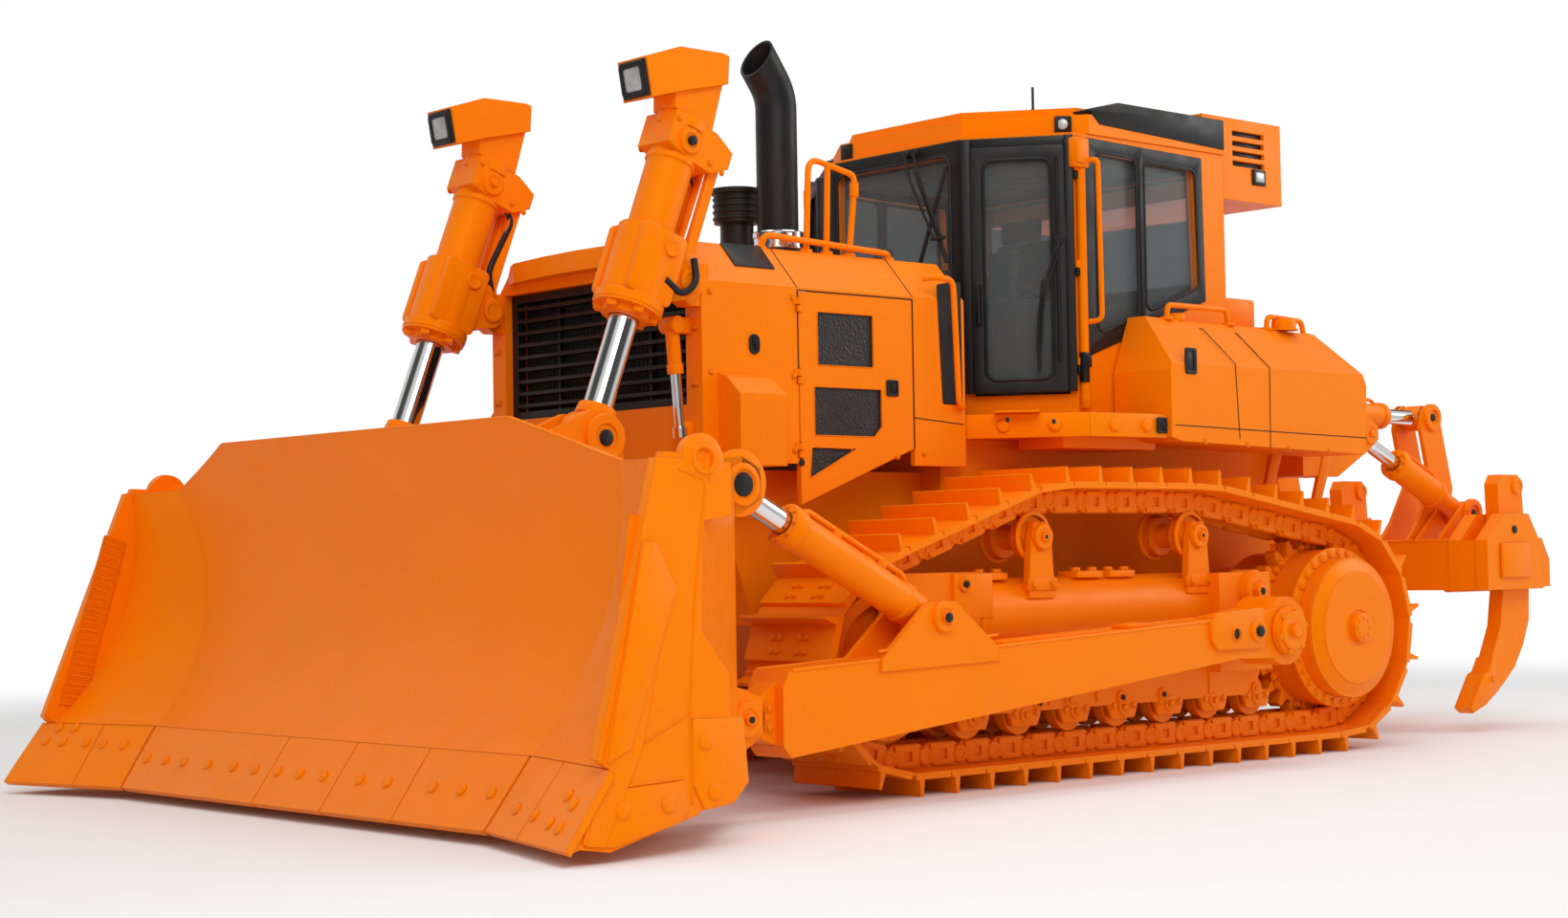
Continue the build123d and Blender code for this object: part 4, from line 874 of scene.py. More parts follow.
def cabDoorTrim():
    bm = bmesh.new()
    face, thick, corners = doorTrim["face"], doorTrim["thick"], doorTrim["corners"]
    addRing(bm, doorTrim["outline"], doorTrim["pane"], thick, doorFrame(face), corners, soft=3)
    bead = [doorFrame(face + thick) @ p.to_3d() for p in roundedLoop(doorTrim["pane"], corners[1])]
    addTube(bm, bead, doorTrim["bead"], closed=True)
    for low, high in doorTrim["grabs"]:
        addTube(bm, [onDoor((doorTrim["grabX"], z, 16)) for z in (low, high)], doorTrim["bead"])
    addBlock(bm, onDoor(doorTrim["handle"]), doorTrim["handleSize"], soft=8)
    finishPair("cabDoorTrim", bm, "cab_door", "blackCoat")
    # wiper with its two parallel arms
    pivot = onDoor(doorTrim["wiperPivot"])
    bm = drawParts({"foot": ("drum", onDoor(doorTrim["wiperFoot"]), pivot, 26, None, 16, 4)})
    for shift in (-doorTrim["armGap"], doorTrim["armGap"]):
        arm = [onDoor(p, shift) for p in doorTrim["wiperArm"]]
        addTube(bm, [pivot + Vector((0, 0, shift)), *arm], 6, bend=130)
    addTube(bm, [onDoor(p) for p in doorTrim["wiperBlade"]], 9, bend=200)
    finishPair("cabDoorWiper", bm, "cab_door", "rubberTrim")


wipers = {
    # pivot, elbow and head of each arm
    "arms": (((310, 118, 3150), (352, 168, 3020), (338, 320, 2700)),
             ((310, 182, 3150), (352, 238, 3010), (338, 378, 2700))),
    "parts": {
        "ribLeft": ("tube", [(324, 187, 3050), (322, 395, 2560)], 6),
        "ribRight": ("tube", [(324, 205, 3050), (322, 413, 2560)], 6),
        "head": ("block", (330, 350, 2690), (24, 96, 18)),
        "blade": ("block", (318, 300, 2800), (12, 22, 560), leaning(-23, "X"), 3),
    },
}


def windscreenWipers():
    bm = drawParts(wipers["parts"])
    for pivot, elbow, head in wipers["arms"]:
        x, y, z = pivot
        addDrum(bm, pivot, (x + 26, y, z), 20, sides=16, soft=3)
        addTube(bm, [(x + 20, y, z), elbow, head], 7, bend=70)
    finishPiece("windscreenWipers", bm, "hull", "rubberTrim")


rails = {
    # tubes: points, radius, bend; blocks: centre, size, turn, softened edge
    "doorPost": ("tube", ((-66, 972, 1824), (-66, 972, 3172)), 24, 0),
    "postLoop": ("tube", ((-90, 972, 3040), (-116, 1044, 3052), (-118, 1050, 2236),
                          (-90, 972, 2230)), 14, 60),
    "gapRail": ("tube", ((905, 806, 2400), (870, 866, 2405), (762, 870, 2400), (735, 870, 1788),
                         (640, 806, 1790)), 15, 60),
    "tankRail": ("tube", ((-590, 1075, 2262), (-596, 1075, 2338), (-1080, 1075, 2338),
                          (-1092, 1075, 2262)), 15, 50),
    "tankRailRear": ("tube", ((-1420, 1075, 2250), (-1430, 1075, 2322), (-1730, 1075, 2310),
                              (-1745, 1075, 2236)), 15, 50),
    "hoodLow": ("tube", ((1762, 600, 2500), (1748, 618, 2572), (950, 618, 2538), (936, 604, 2490)), 15, 50),
    "hoodLowPost": ("tube", ((1361, 610, 2500), (1361, 618, 2552)), 13, 0),
    "hingeBracket": ("block", (-42, 984, 3080), (110, 46, 150), None, 8),
    "hingeLeaf": ("block", (-20, 1006, 3080), (60, 26, 110), None, 6),
    "hoodFootFront": ("block", (1762, 598, 2508), (52, 40, 30), None, 6),
    "hoodFootRear": ("block", (938, 602, 2508), (52, 40, 30), None, 6),
}
railFeet = {
    # feet of the tank rails, reaching a little below and above these places
    "tank": ((-590, 1075, 2266), (-1092, 1075, 2260), (-1420, 1075, 2252), (-1745, 1075, 2234)),
    "tankRadius": 34, "tankHeight": (-8, 10),
    "knuckles": ((1795, 1860), (1976, 2044), (3061, 3129)), "knuckleRadius": 26,
}
grabLoop = {
    "loop": ("tube", ((1462, 590, 2510), (1448, 600, 2962), (1150, 600, 2905), (1154, 600, 2825),
                      (1184, 590, 2510)), 15, 70),
    "post": ("tube", ((1332, 590, 2510), (1326, 600, 2936)), 15, 0),
    "sleeve": ("drum", (1152, 600, 2800), (1152, 600, 2870), 22, None, 16, 4),
    "footFront": ("drum", (1462, 590, 2500), (1462, 590, 2524), 30, None, 18, 3),
    "footMiddle": ("drum", (1332, 590, 2500), (1332, 590, 2524), 30, None, 18, 3),
    "footRear": ("drum", (1184, 590, 2500), (1184, 590, 2524), 30, None, 18, 3),
}


def orangeRails():
    bm = drawParts(rails)
    x, y = rails["doorPost"][1][0][:2]
    for low, high in railFeet["knuckles"]:
        addDrum(bm, (x - 4, y, low), (x - 4, y, high), railFeet["knuckleRadius"], sides=18, soft=3)
    below, above = railFeet["tankHeight"]
    for x, y, z in railFeet["tank"]:
        addDrum(bm, (x, y, z + below), (x, y, z + above), railFeet["tankRadius"], sides=18, soft=3)
    finishPiece("orangeRails", bm, "hull", "orangePaint", both=True)
    finishPiece("hoodGrabLoop", drawParts(grabLoop), "hull", "orangePaint")


cabFixings = {
    "hingeLow": ("block", (-52, 984, 2000), (44, 36, 150), None, 6),
    "hingeLowLeaf": ("block", (-62, 1004, 2030), (30, 20, 60)),
    "roofLampBox": ("block", (-64, 863, 3240), (84, 40, 88), leaning(-38, "Z"), 8),
    "coolerLampBox": ("block", (-1742, 804, 3132), (112, 18, 88), None, 5),
    "tankLatch": ("ring", rectangle(-500, -412, 1958, 2090), rectangle(-484, -428, 1974, 2074), 10,
                  sideFrame(1328), (14, 8)),
    "tankLatchFlap": ("plate", rectangle(-486, -426, 1972, 2076), 3, sideFrame(1329), 8),
}
roofLamps = {
    "roof": ("drum", (-49, 875, 3240), (-44, 879, 3240), 27, None, 20, 2),
    "cooler": ("block", (-1742, 813, 3132), (74, 6, 54), None, 2),
}
# thin black strips painted as shade behind the cooling unit's louvre slats: heights, place (x, y), size
louvreShade = {"heights": (3195, 3250, 3305, 3360), "place": (-1660, 777), "size": (280, 3, 30)}


def cabFittingsAndLouvreShade():
    # lower hinge brackets, lamp boxes, latches, and thin black strips painted as shade behind the cooling
    # unit's louvre slats
    bm = drawParts(cabFixings)
    # painted shade: a black strip behind each louvre slat
    for z in louvreShade["heights"]:
        addBlock(bm, (*louvreShade["place"], z), louvreShade["size"], soft=0.5)
    finishPiece("cabFittingsAndLouvreShade", bm, "hull", "blackCoat", both=True)
    finishPiece("roofLampLenses", drawParts(roofLamps), "hull", "lampGlass", both=True)


roofParts = {
    "antennaFoot": ("drum", (-462, 300, 3338), (-462, 300, 3378), 24, 14, 16, 3),
    "antennaSleeve": ("drum", (-462, 300, 3398), (-462, 300, 3448), 11, None, 12),
    "antenna": ("tube", [(-462, 300, 3338), (-462, 300, 3566)], 7),
    "hatch": ("block", (-960, 0, 3444), (380, 620, 10)),
    "shell": ("plate", [(-150, 3316), (-380, 3374), (-1238, 3374), (-1238, 3214), (-232, 3246)], 1932,
              sideFrame(-966), 6, 10),
    # single lamp at the front of the roof, on the right
    "lampBox": ("block", (246, -398, 3240), (30, 88, 84), None, 8),
    "lamp": ("block", (262, -398, 3240), (10, 58, 54)),
    "bolts": ("bolts", "small", [(x, y, 3440) for x in (-740, -1210) for y in (-500, 0, 500)], (0, 0, 1)),
}
cabParts = {
    "dashboard": ("block", (150, 0, 2480), (150, 520, 130), leaning(14, "Y"), 30, 3),
    "column": ("block", (190, 0, 2210), (90, 560, 460), None, 24, 3),
    "screen": ("block", (60, -330, 2640), (40, 190, 150), leaning(-20, "Z"), 12),
    "ceiling": ("block", (-560, 0, 3138), (1210, 1600, 16)),
    "rearLining": ("ring", rectangle(-870, 870, 1864, 3146), rectangle(-780, 780, 2502, 3098), 4,
                   frontFrame(-1179), (1, 30)),
    "noseLining": ("ring", rectangle(-450, 450, 1864, 3146), rectangle(-430, 430, 1962, 3118), 4,
                   frontFrame(234), (1, 30)),
}
armConsole = {
    "places": (395, -395),
    "knob": [(4, 0), (24, 12), (30, 60), (26, 110), (34, 140), (20, 160), (1, 164)],
    "pedals": (-150, 150),
}
cabLining = {
    "side": ("ring", rectangle(-1176, -72, 1864, 3146),
             ((-192, 2152), (-1018, 2450), (-998, 3088), (-202, 3108)), 4, sideFrame(884), (1, 30)),
}


def cabInside():
    # dashboard, levers, screen, inside trim
    bm = drawParts(cabParts)
    for y in armConsole["places"]:
        drawParts({
            "box": ("block", (-370, y, 2370), (520, 150, 60), None, 18, 3),
            "rest": ("block", (-520, y, 2425), (240, 96, 50), None, 18, 3),
            "gaiter": ("drum", (-180, y, 2380), (-180, y, 2440), 42, 30, 20, 6),
            "lever": ("tube", [(-180, y, 2400), (-172, y, 2520)], 14),
            "knob": ("lathe", armConsole["knob"], (-172, y, 2500), (-0.15, 0, 1), 20),
        }, bm)
    for y in armConsole["pedals"]:
        addBlock(bm, (60, y, 1930), (150, 90, 24), leaning(24, "Y"), 6)
    finishPiece("cabInside", bm, "hull", "rubberTrim")
    finishPiece("cabSideLining", drawParts(cabLining), "hull", "rubberTrim", both=True)


cabWindows()
cabDoorTrim()
windscreenWipers()
orangeRails()
cabFittingsAndLouvreShade()
finishPiece("roofFittings", drawParts(roofParts), "hull", "blackCoat")
cabInside()
print("cab dressed")


doorWindows = (
    [(1236, 1957), (1594, 1957), (1594, 2206), (1236, 2206)],
    [(1187, 1680), (1236, 1631), (1620, 1631), (1620, 1858), (1187, 1858)],
    [(1354, 1574), (1654, 1432), (1639, 1578)],
)
doorSide = {
    "face": 800, "meshThick": 2.5, "meshFace": 788.5,
    "edgeRadius": 3.5, "edgeCorner": 9,
    "latch": ("latch", (1118, 800, 1866), 78, 78, 10),
    "plug": ("drum", (1705, 799, 1505), (1705, 806, 1505), 17, None, 16, 2),
}


def sideDoors():
    bm = bmesh.new()
    for outline in doorWindows:
        addPlate(bm, outline, doorSide["meshThick"], sideFrame(doorSide["meshFace"]), soft=0)
    finishPair("doorMesh", bm, "side_door", "blackMesh")
    bm = drawParts({key: doorSide[key] for key in ("latch", "plug")})
    finishPair("doorLatch", bm, "side_door", "blackCoat")
    # thin pressed edge round every mesh window
    bm = bmesh.new()
    face = sideFrame(doorSide["face"])
    for outline in doorWindows:
        loop = [face @ p.to_3d() for p in roundedLoop(outline, doorSide["edgeCorner"], 3)]
        addTube(bm, loop, doorSide["edgeRadius"], sides=6, closed=True)
    finishPair("doorWindowEdge", bm, "side_door", "orangePaint")


seams = {
    "thick": 5,
    # near-black plate painted as shade in the opening between the hood's rear panel and the cab
    "gap": ("plate", [(640, 1800), (778, 1800), (806, 2380), (700, 2400), (640, 2400)], 4,
            sideFrame(799), 12),
    # runs over the left side of the hood, points in order
    "runs": (
        ((1716, 0, 2531), (1716, 450, 2531), (1716, 620, 2509), (1716, 801, 2310)),
        ((973, 0, 2531), (973, 450, 2531), (973, 620, 2509), (973, 801, 2310)),
        ((973, 801, 2297), (1716, 801, 2297)),
        ((973, 801, 1580), (973, 801, 2297)),
        ((973, 801, 1730), (640, 801, 1706)),
        ((1716, 801, 1890), (1716, 801, 2297)),
        ((-815, 1331, 2025), (-840, 1331, 1640)),
        ((-1100, 1331, 2016), (-1092, 1331, 1600)),
        ((-815, 1331, 2025), (-800, 1140, 2216), (-800, 1000, 2262)),
        ((-1100, 1331, 2016), (-1080, 1140, 2208), (-1080, 1000, 2257)),
        ((-330, 1331, 1700), (-1940, 1331, 1668)),
    ),
}


def panelSeamsAndGapShade():
    # dark panel seams, and the near-black plate painted as shade in the opening behind the hood
    bm = drawParts({"gap": seams["gap"]})
    for run in seams["runs"]:
        addTube(bm, run, seams["thick"] / 2, bend=0.5, sides=6)
    finishPiece("panelSeamsAndGapShade", bm, "hull", "rubberTrim", both=True)


hoodTop = {
    "pad": rectangle(1781, 2025, -4, 154), "padThick": 6,
    "chamfer": 0.8325, "chamferFoot": (620, 2509),     # radians; y and z of the chamfer's upper edge
    "clampLow": 2556, "clampHigh": 2642, "clampRadius": 125,
    "stack": (1380, 300), "bowl": (1400, 20),
    "bowlBands": (2730, 2762, 2794, 2826), "bowlLid": 2860,
    "noseLatch": ("latch", (1984, 801, 2036), 62, 92, 30),
    # mouth of the stack: middle, half width, thickness of its rim
    "mouth": (1496, 300, 3474), "mouthWide": 93, "mouthDeep": 92, "rim": 5,
    "mouthNormal": (0.85, 0, 0.5), "mouthRun": (210, 0, 290),
}


def hoodFittings():
    bm = drawParts({"latch": hoodTop["noseLatch"]})
    y, z = hoodTop["chamferFoot"]
    for side in (-1, 1):
        place = Matrix.Translation((0, side * y, z)) @ Matrix.Rotation(-side * hoodTop["chamfer"], 4, "X")
        addPlate(bm, [(px, side * py) for px, py in hoodTop["pad"]], hoodTop["padThick"], place, 8)
    x, y = hoodTop["bowl"]
    for z in hoodTop["bowlBands"]:
        addLathe(bm, [(113, 0), (119, 5), (119, 12), (113, 17)], (x, y, z), (0, 0, 1), 40)
    lid = [(126, 0), (129, 8), (129, 18), (112, 27), (40, 31), (1, 32)]
    addLathe(bm, lid, (x, y, hoodTop["bowlLid"]), (0, 0, 1), 40)
    addDrum(bm, (x, y, 2560), (x, y, 2578), 92, sides=32, soft=3)
    finishPiece("hoodBlackFittings", bm, "hull", "blackCoat")


def stackFittings():
    x, y = hoodTop["stack"]
    low, wide = hoodTop["clampLow"], hoodTop["clampRadius"]
    middle = (low + hoodTop["clampHigh"]) / 2
    bands = [(wide - 3, 0), (wide + 2, 4), (wide + 2, 26), (wide - 1, 30), (wide - 1, 52), (wide + 3, 56),
             (wide + 3, 80), (wide - 3, 86)]
    finishPiece("stackClamp", drawParts({
        "bands": ("lathe", bands, (x, y, low), (0, 0, 1), 48),
        "ears": ("block", (x + 60, y + wide - 6, middle), (58, 40, 60), None, 6),
        "bolt": ("drum", (x + 20, y + wide + 8, middle), (x + 110, y + wide + 2, middle), 8, None, 12),
    }), "hull", "chrome")
    # rim round the stack's open mouth, which is cut at a slant
    bm = bmesh.new()
    normal, run = (Vector(hoodTop[k]).normalized() for k in ("mouthNormal", "mouthRun"))
    deep = normal.cross(Vector((0, 1, 0))).normalized() * hoodTop["mouthDeep"] / abs(run.dot(normal))
    wide = Vector((0, hoodTop["mouthWide"], 0))
    rim = [Vector(hoodTop["mouth"]) + wide * math.cos(a) + deep * math.sin(a)
           for a in (math.tau * i / 36 for i in range(36))]
    addTube(bm, rim, hoodTop["rim"], closed=True, sides=8)
    finishPiece("stackRim", bm, "hull", "blackCoat")


noseLine = {
    "top": (2379, 700, 2110), "joint": (2361, 700, 1898), "foot": (2339, 700, 1647),
    "radius": 32, "rodRadius": 24, "footSize": (90, 60, 74),
    "core": ("block", (2184, 0, 2066), (10, 1300, 540), None, 1),
    "fins": 42, "finStep": 30, "firstFin": (2191, -615, 2066), "finSize": (6, 7, 530),
}


def noseFittings():
    # dark core with its fins behind the grille, and the short cylinder on the nose
    bm = drawParts({"core": noseLine["core"]})
    x, y, z = noseLine["firstFin"]
    for i in range(noseLine["fins"]):
        addBlock(bm, (x, y + i * noseLine["finStep"], z), noseLine["finSize"], soft=0.5)
    finishPiece("radiatorCore", bm, "hull", "rubberTrim")
    top, joint, foot = (Vector(noseLine[k]) for k in ("top", "joint", "foot"))
    down = (foot - top).normalized()
    pin = Vector((0, 50, 0))
    finishPiece("noseCylinder", drawParts({
        "barrel": ("drum", top, joint, noseLine["radius"], None, 24, 4),
        "gland": ("drum", joint - down * 40, joint + down * 6, noseLine["radius"] + 5, None, 24, 4),
        "pin": ("drum", top - pin, top + pin, 40, None, 24, 5),
        "upperFoot": ("block", top - Vector((50, 0, 0)), noseLine["footSize"], None, 8),
        "lowerFoot": ("block", foot - Vector((50, 0, 0)), noseLine["footSize"], None, 8),
    }), "hull", "orangePaint")
    finishPiece("noseCylinderRod", drawParts({
        "rod": ("drum", joint, foot, noseLine["rodRadius"], None, 24),
        "eye": ("lathe", [(20, -40), (34, -36), (34, 10), (20, 14)], foot, -down, 24),
    }), "hull", "chrome")


hoodScrews = {
    "side": [(912, 801, 1560), (1090, 801, 1540), (1930, 801, 1870), (2190, 801, 1870)]
            + [(x, 801, z) for x in (2240, 1745) for z in (1560, 1900, 2260)],
    "nose": [(2292, y, z) for y in (745, 765) for z in (1600, 1850, 2100, 2300)],
    "top": [(x, y, 2530) for x in (760, 900, 1040) for y in (380, 120)],
    "deck": [(860, 1301, 1696), (540, 1301, 1696)],
    # hinge knuckles of the side doors: place, heights, reach down and up, radius
    "hinge": (1712, 806), "hingeHeights": (1560, 1900, 2230), "hingeReach": (-33, 38), "hingeRadius": 5,
}


def hoodBolts():
    finishPiece("hoodBolts", drawParts({
        "side": ("bolts", "small", hoodScrews["side"], (0, 1, 0)),
        "nose": ("bolts", "small", hoodScrews["nose"], (1, 0, 0)),
        "top": ("bolts", "small", hoodScrews["top"], (0, 0, 1)),
    }), "hull", "orangePaint", both=True)
    bm = drawParts({"deck": ("bolts", "button", hoodScrews["deck"], (0, 1, 0))})
    down, up = hoodScrews["hingeReach"]
    for z in hoodScrews["hingeHeights"]:
        place = hoodScrews["hinge"]
        addDrum(bm, (*place, z + down), (*place, z + up), hoodScrews["hingeRadius"], sides=10)
    finishPiece("darkBolts", bm, "hull", "blackCoat", both=True)


deckParts = {
    "edge": ((612, 796), (228, 1254), (-292, 1303)), "edgeZ": 1694, "edgeHigh": 118, "edgeThick": 10,
    "step": ("block", (420, 960, 1760), (220, 260, 10), leaning(-50, "Z"), 3),
    "under": ("block", (-100, 950, 1638), (700, 300, 106), None, 6),
    "tankScrews": (-560, -900, -1250, -1600), "tankSlope": 0.026,
    "grips": 9, "gripStep": 55, "firstGrip": (180, 1110, 1753), "gripSize": (16, 230, 8),
    "latches": {
        "deck": ("latch", (-250, 1305, 1696), 74, 80, 9),
        "tank": ("latch", (-456, 962, 2024), 74, 88, 14),
    },
}
tankParts = {
    "fillerCap": ("lathe", [(1, 62), (60, 60), (66, 50), (66, 14), (78, 8), (78, 0)], (-1550, 1090, 2250),
                  (0, 0.05, 1), 32),
    "fillerGrip": ("block", (-1550, 1090, 2318), (110, 18, 14)),
    "breather": ("drum", (-700, 1040, 2258), (-700, 1040, 2300), 52, None, 28, 6),
    # step behind the cab that joins the tanks, with a box on each side
    "step": ("block", (-1500, 0, 2140), (560, 1900, 280), None, 14),
    "boxLeft": ("block", (-1420, 700, 2350), (300, 380, 170), None, 16),
    "boxRight": ("block", (-1420, -700, 2350), (300, 380, 170), None, 16),
}


def deckEdge():
    # folded front edge of the deck, its bolts and step pads
    bm = drawParts({key: deckParts[key] for key in ("step", "under")})
    edge, height = deckParts["edge"], deckParts["edgeZ"]
    for (ax, ay), (bx, by) in zip(edge, edge[1:]):
        ahead = Vector((bx - ax, by - ay, 0))
        out = Vector((ahead.y, -ahead.x, 0)).normalized()
        middle = Vector(((ax + bx) / 2, (ay + by) / 2, height)) - out * 2
        size = (ahead.length, deckParts["edgeHigh"], deckParts["edgeThick"])
        addBlock(bm, middle, size, turned(out, ahead), soft=3)
        addBolts(bm, "dome", [Vector((ax, ay, height)) + ahead * t + out * 2 for t in (0.3, 0.72)], out)
    for x in deckParts["tankScrews"]:
        addBolts(bm, "small", [(x, 1331, 1624 + (x + 380) * deckParts["tankSlope"])], (0, 1, 0))
    finishPiece("deckEdge", bm, "hull", "orangePaint", both=True)
    bm = drawParts(deckParts["latches"])
    x, y, z = deckParts["firstGrip"]
    for i in range(deckParts["grips"]):
        addBlock(bm, (x - i * deckParts["gripStep"], y, z), deckParts["gripSize"], soft=2)
    finishPiece("deckGrips", bm, "hull", "blackCoat", both=True)


sideDoors()
panelSeamsAndGapShade()
hoodFittings()
stackFittings()
noseFittings()
hoodBolts()
deckEdge()
finishPiece("tankFittings", drawParts(tankParts), "hull", "orangePaint")
print("hood and deck dressed")


chain = {
    "pitch": 228, "centre": 1090, "linkOut": 65, "plate": 20,
    # wheels (x, z, pitch radius), clockwise seen from the left
    "wheels": ((-1690, 654, 494), (-570, 1150, 175), (600, 1150, 175), (1580, 580, 420)),
    "railFace": 1195,      # outer face of the left rail
    "boltAlong": (112, 176), "boltAcross": (-110, -66, 66, 110),
    # side plate of a link: outline, hole, thickness; boss at its joint
    "link": [(36, -56), (180, -56), (192, -30), (192, 34), (176, 46), (60, 46), (36, 30)],
    "hole": [(92, -26), (140, -26), (140, -18), (140, 18), (92, 18), (92, 10), (92, -18)], "linkThick": 12,
    "boss": [(44, 0), (44, 12), (38, 18), (24, 18), (22, 15), (1, 15)],
}


def chainJoints():
    # evenly spaced link joints (x, z) along the belt
    wheels, runs, lines = chain["wheels"], [], []
    for (ax, az, ar), (bx, bz, br) in zip(wheels, wheels[1:] + wheels[:1]):
        span = math.dist((ax, az), (bx, bz))
        normal = math.atan2(bz - az, bx - ax) + math.asin((br - ar) / span) + math.pi / 2
        lines.append((Vector((ax + ar * math.cos(normal), az + ar * math.sin(normal))),
                      Vector((bx + br * math.cos(normal), bz + br * math.sin(normal))), normal))
    for i, (leave, meet, normal) in enumerate(lines):
        x, z, radius = wheels[(i + 1) % len(wheels)]
        turn = (normal - lines[(i + 1) % len(wheels)][2]) % math.tau
        runs.append((leave, meet, None, (meet - leave).length))
        runs.append((Vector((x, z)), radius, normal, radius * turn))
    total = sum(run[3] for run in runs)
    count = round(total / chain["pitch"])
    joints = []
    for i in range(count):
        distance = total * i / count
        for first, second, start, length in runs:
            if distance <= length:
                break
            distance -= length
        if start is None:
            joints.append(first + (second - first).normalized() * distance)
        else:
            angle = start - distance / second
            joints.append(first + Vector((math.cos(angle), math.sin(angle))) * second)
    return joints


def linkMeshes():
    # side plate of one link, drawn along +X with outwards as +Y
    part = bmesh.new()
    addRing(part, chain["link"], chain["hole"], chain["linkThick"], Matrix(), (3, 2), soft=1.5, steps=2)
    plate = finishMesh("linkPlate", part)
    part = bmesh.new()
    addLathe(part, chain["boss"], (0, 0, 0), (0, 0, 1), 20)
    return plate, finishMesh("linkBoss", part)


def trackChains():
    joints = chainJoints()
    plate, boss = linkMeshes()
    links, heads = bmesh.new(), bmesh.new()
    middle = chain["centre"]
    for here, there in zip(joints, joints[1:] + joints[:1]):
        ahead = Vector((there.x - here.x, 0, there.y - here.y)).normalized()
        outward = Vector((-ahead.z, 0, ahead.x))
        for y, side in ((chain["railFace"], 1), (2 * middle - chain["railFace"], -1)):
            turn = Matrix((ahead, outward, Vector((0, side, 0)))).transposed().to_4x4()
            for part in (plate, boss):
                stamp(links, part, Matrix.Translation((here.x, y, here.y)) @ turn)
        # bolt heads on the shoe, sunk by a millimetre
        seat = chain["linkOut"] + chain["plate"] - 1
        for along in chain["boltAlong"]:
            base = Vector((here.x, middle, here.y)) + ahead * along + outward * seat
            addBolts(heads, "shoe", [base + Vector((0, y, 0)) for y in chain["boltAcross"]], outward)
    finishPiece("trackLinks", links, "hull", "orangePaint", both=True)
    finishPiece("trackShoeBolts", heads, "hull", "orangePaint", both=True)


drive = {
    "centre": (-1690, 0, 654), "flange": 1300, "cover": 1390, "dome": 1420, "cap": 1455,
    # profiles of (radius, distance outwards) from each face
    "flangeRim": [(418, -16), (426, -8), (426, 8), (418, 16), (372, 22)],
    "coverRim": [(372, -30), (372, -12), (352, 4), (300, 26)],
    "domeRim": [(300, 0), (296, 5), (120, 7), (92, 4), (92, -2)],
    "capRim": [(76, -8), (76, 2), (70, 6), (30, 7), (1, 7)],
    "segments": 9, "segmentY": 1130, "segmentRadius": 438, "segmentBolts": (-0.12, 0, 0.12),
}


def onDrive(y):
    return Vector(drive["centre"]) + Vector((0, y, 0))


def finalDrives():
    out = (0, 1, 0)
    bm = drawParts({
        "flange": ("lathe", drive["flangeRim"], onDrive(drive["flange"] - 14), out, 64),
        "cover": ("lathe", drive["coverRim"], onDrive(drive["cover"] + 2), out, 64),
        "dome": ("lathe", drive["domeRim"], onDrive(drive["dome"]), out, 64),
        "cap": ("lathe", drive["capRim"], onDrive(drive["cap"] - 2), out, 40),
        "capBolts": ("bolts", "button", circleOf(onDrive(drive["cap"] + 3), out, 52, 8), out),
        "flangeBolts": ("bolts", "middle", circleOf(onDrive(drive["flange"] + 2), out, 396, 32), out),
        "coverBolts": ("bolts", "small", circleOf(onDrive(drive["cover"] - 12), out, 362, 12, 0.13), out),
    })
    # three bolts on each toothed segment
    for shift in drive["segmentBolts"]:
        spots = circleOf(onDrive(drive["segmentY"]), out, drive["segmentRadius"], drive["segments"], shift)
        addBolts(bm, "middle", spots, out)
    finishPiece("finalDriveCovers", bm, "hull", "orangePaint", both=True)


frameSide = {
    "guardFace": 1256, "guardSeams": (-640, 220, 560),
    "guardBolts": ((641, 367), (419, 370), (43, 365), (-269, 364), (-1010, 360), (1120, 372)),
    "darkPins": ((641, 367), (43, 365), (-269, 364), (1120, 372)),
    "rollerX": [-1030 + i * 350.83 for i in range(7)],
    "carrierX": (600, -570), "carrierZ": 1150, "carrierRings": (1000, 1180), "carrierFlanges": (972, 1208),
    "bandX": (-690, 1000), "tubeZ": 785, "padX": (860, 180, -60),
}
frameParts = {
    "guardRib": ("block", (40, 1259, 622), (2180, 14, 26)),
    "recoilBox": ("block", (1085, 1220, 880), (260, 120, 210), None, 10),
    "recoilPlate": ("block", (1250, 1258, 790), (420, 40, 90), None, 8),
    "recoilCap": ("cap", (1150, 1278, 935), 36, 16, 15),
    "shaftCap": ("cap", (-910, 1349, 862), 92, 26, 44),
    "trunnionCap": ("cap", (-756, 1689, 668), 96, 18, 34),
    "trunnionBolts": ("bolts", "middle", circleOf((-756, 1688, 668), (0, 1, 0), 104, 6), (0, 1, 0)),
    "idlerCap": ("lathe", [(86, 0), (86, 14), (74, 22), (1, 22)], (1580, 1218, 580), (0, 1, 0), 32),
    "idlerBolts": ("bolts", "middle", circleOf((1580, 1236, 580), (0, 1, 0), 52, 6), (0, 1, 0)),
}
framePins = {
    "recoil": ("drum", (1150, 1290, 935), (1150, 1306, 935), 15, None, 14, 2),
    "shaft": ("drum", (-910, 1380, 862), (-910, 1404, 862), 20, None, 16, 3),
}


def rollerBlock(bm, x):
    # bearing block of a roller below the guard, with its two bolts
    outline = [(x - 120, 352), (x - 84, 262), (x + 84, 262), (x + 120, 352)]
    drawParts({
        "block": ("plate", outline, 24, sideFrame(1226), 14, 3),
        "cap": ("cap", (x, 1250, 316), 40, 10, 16),
        "bolts": ("bolts", "middle", [(x - 74, 1250, 326), (x + 74, 1250, 326)], (0, 1, 0)),
    }, bm)


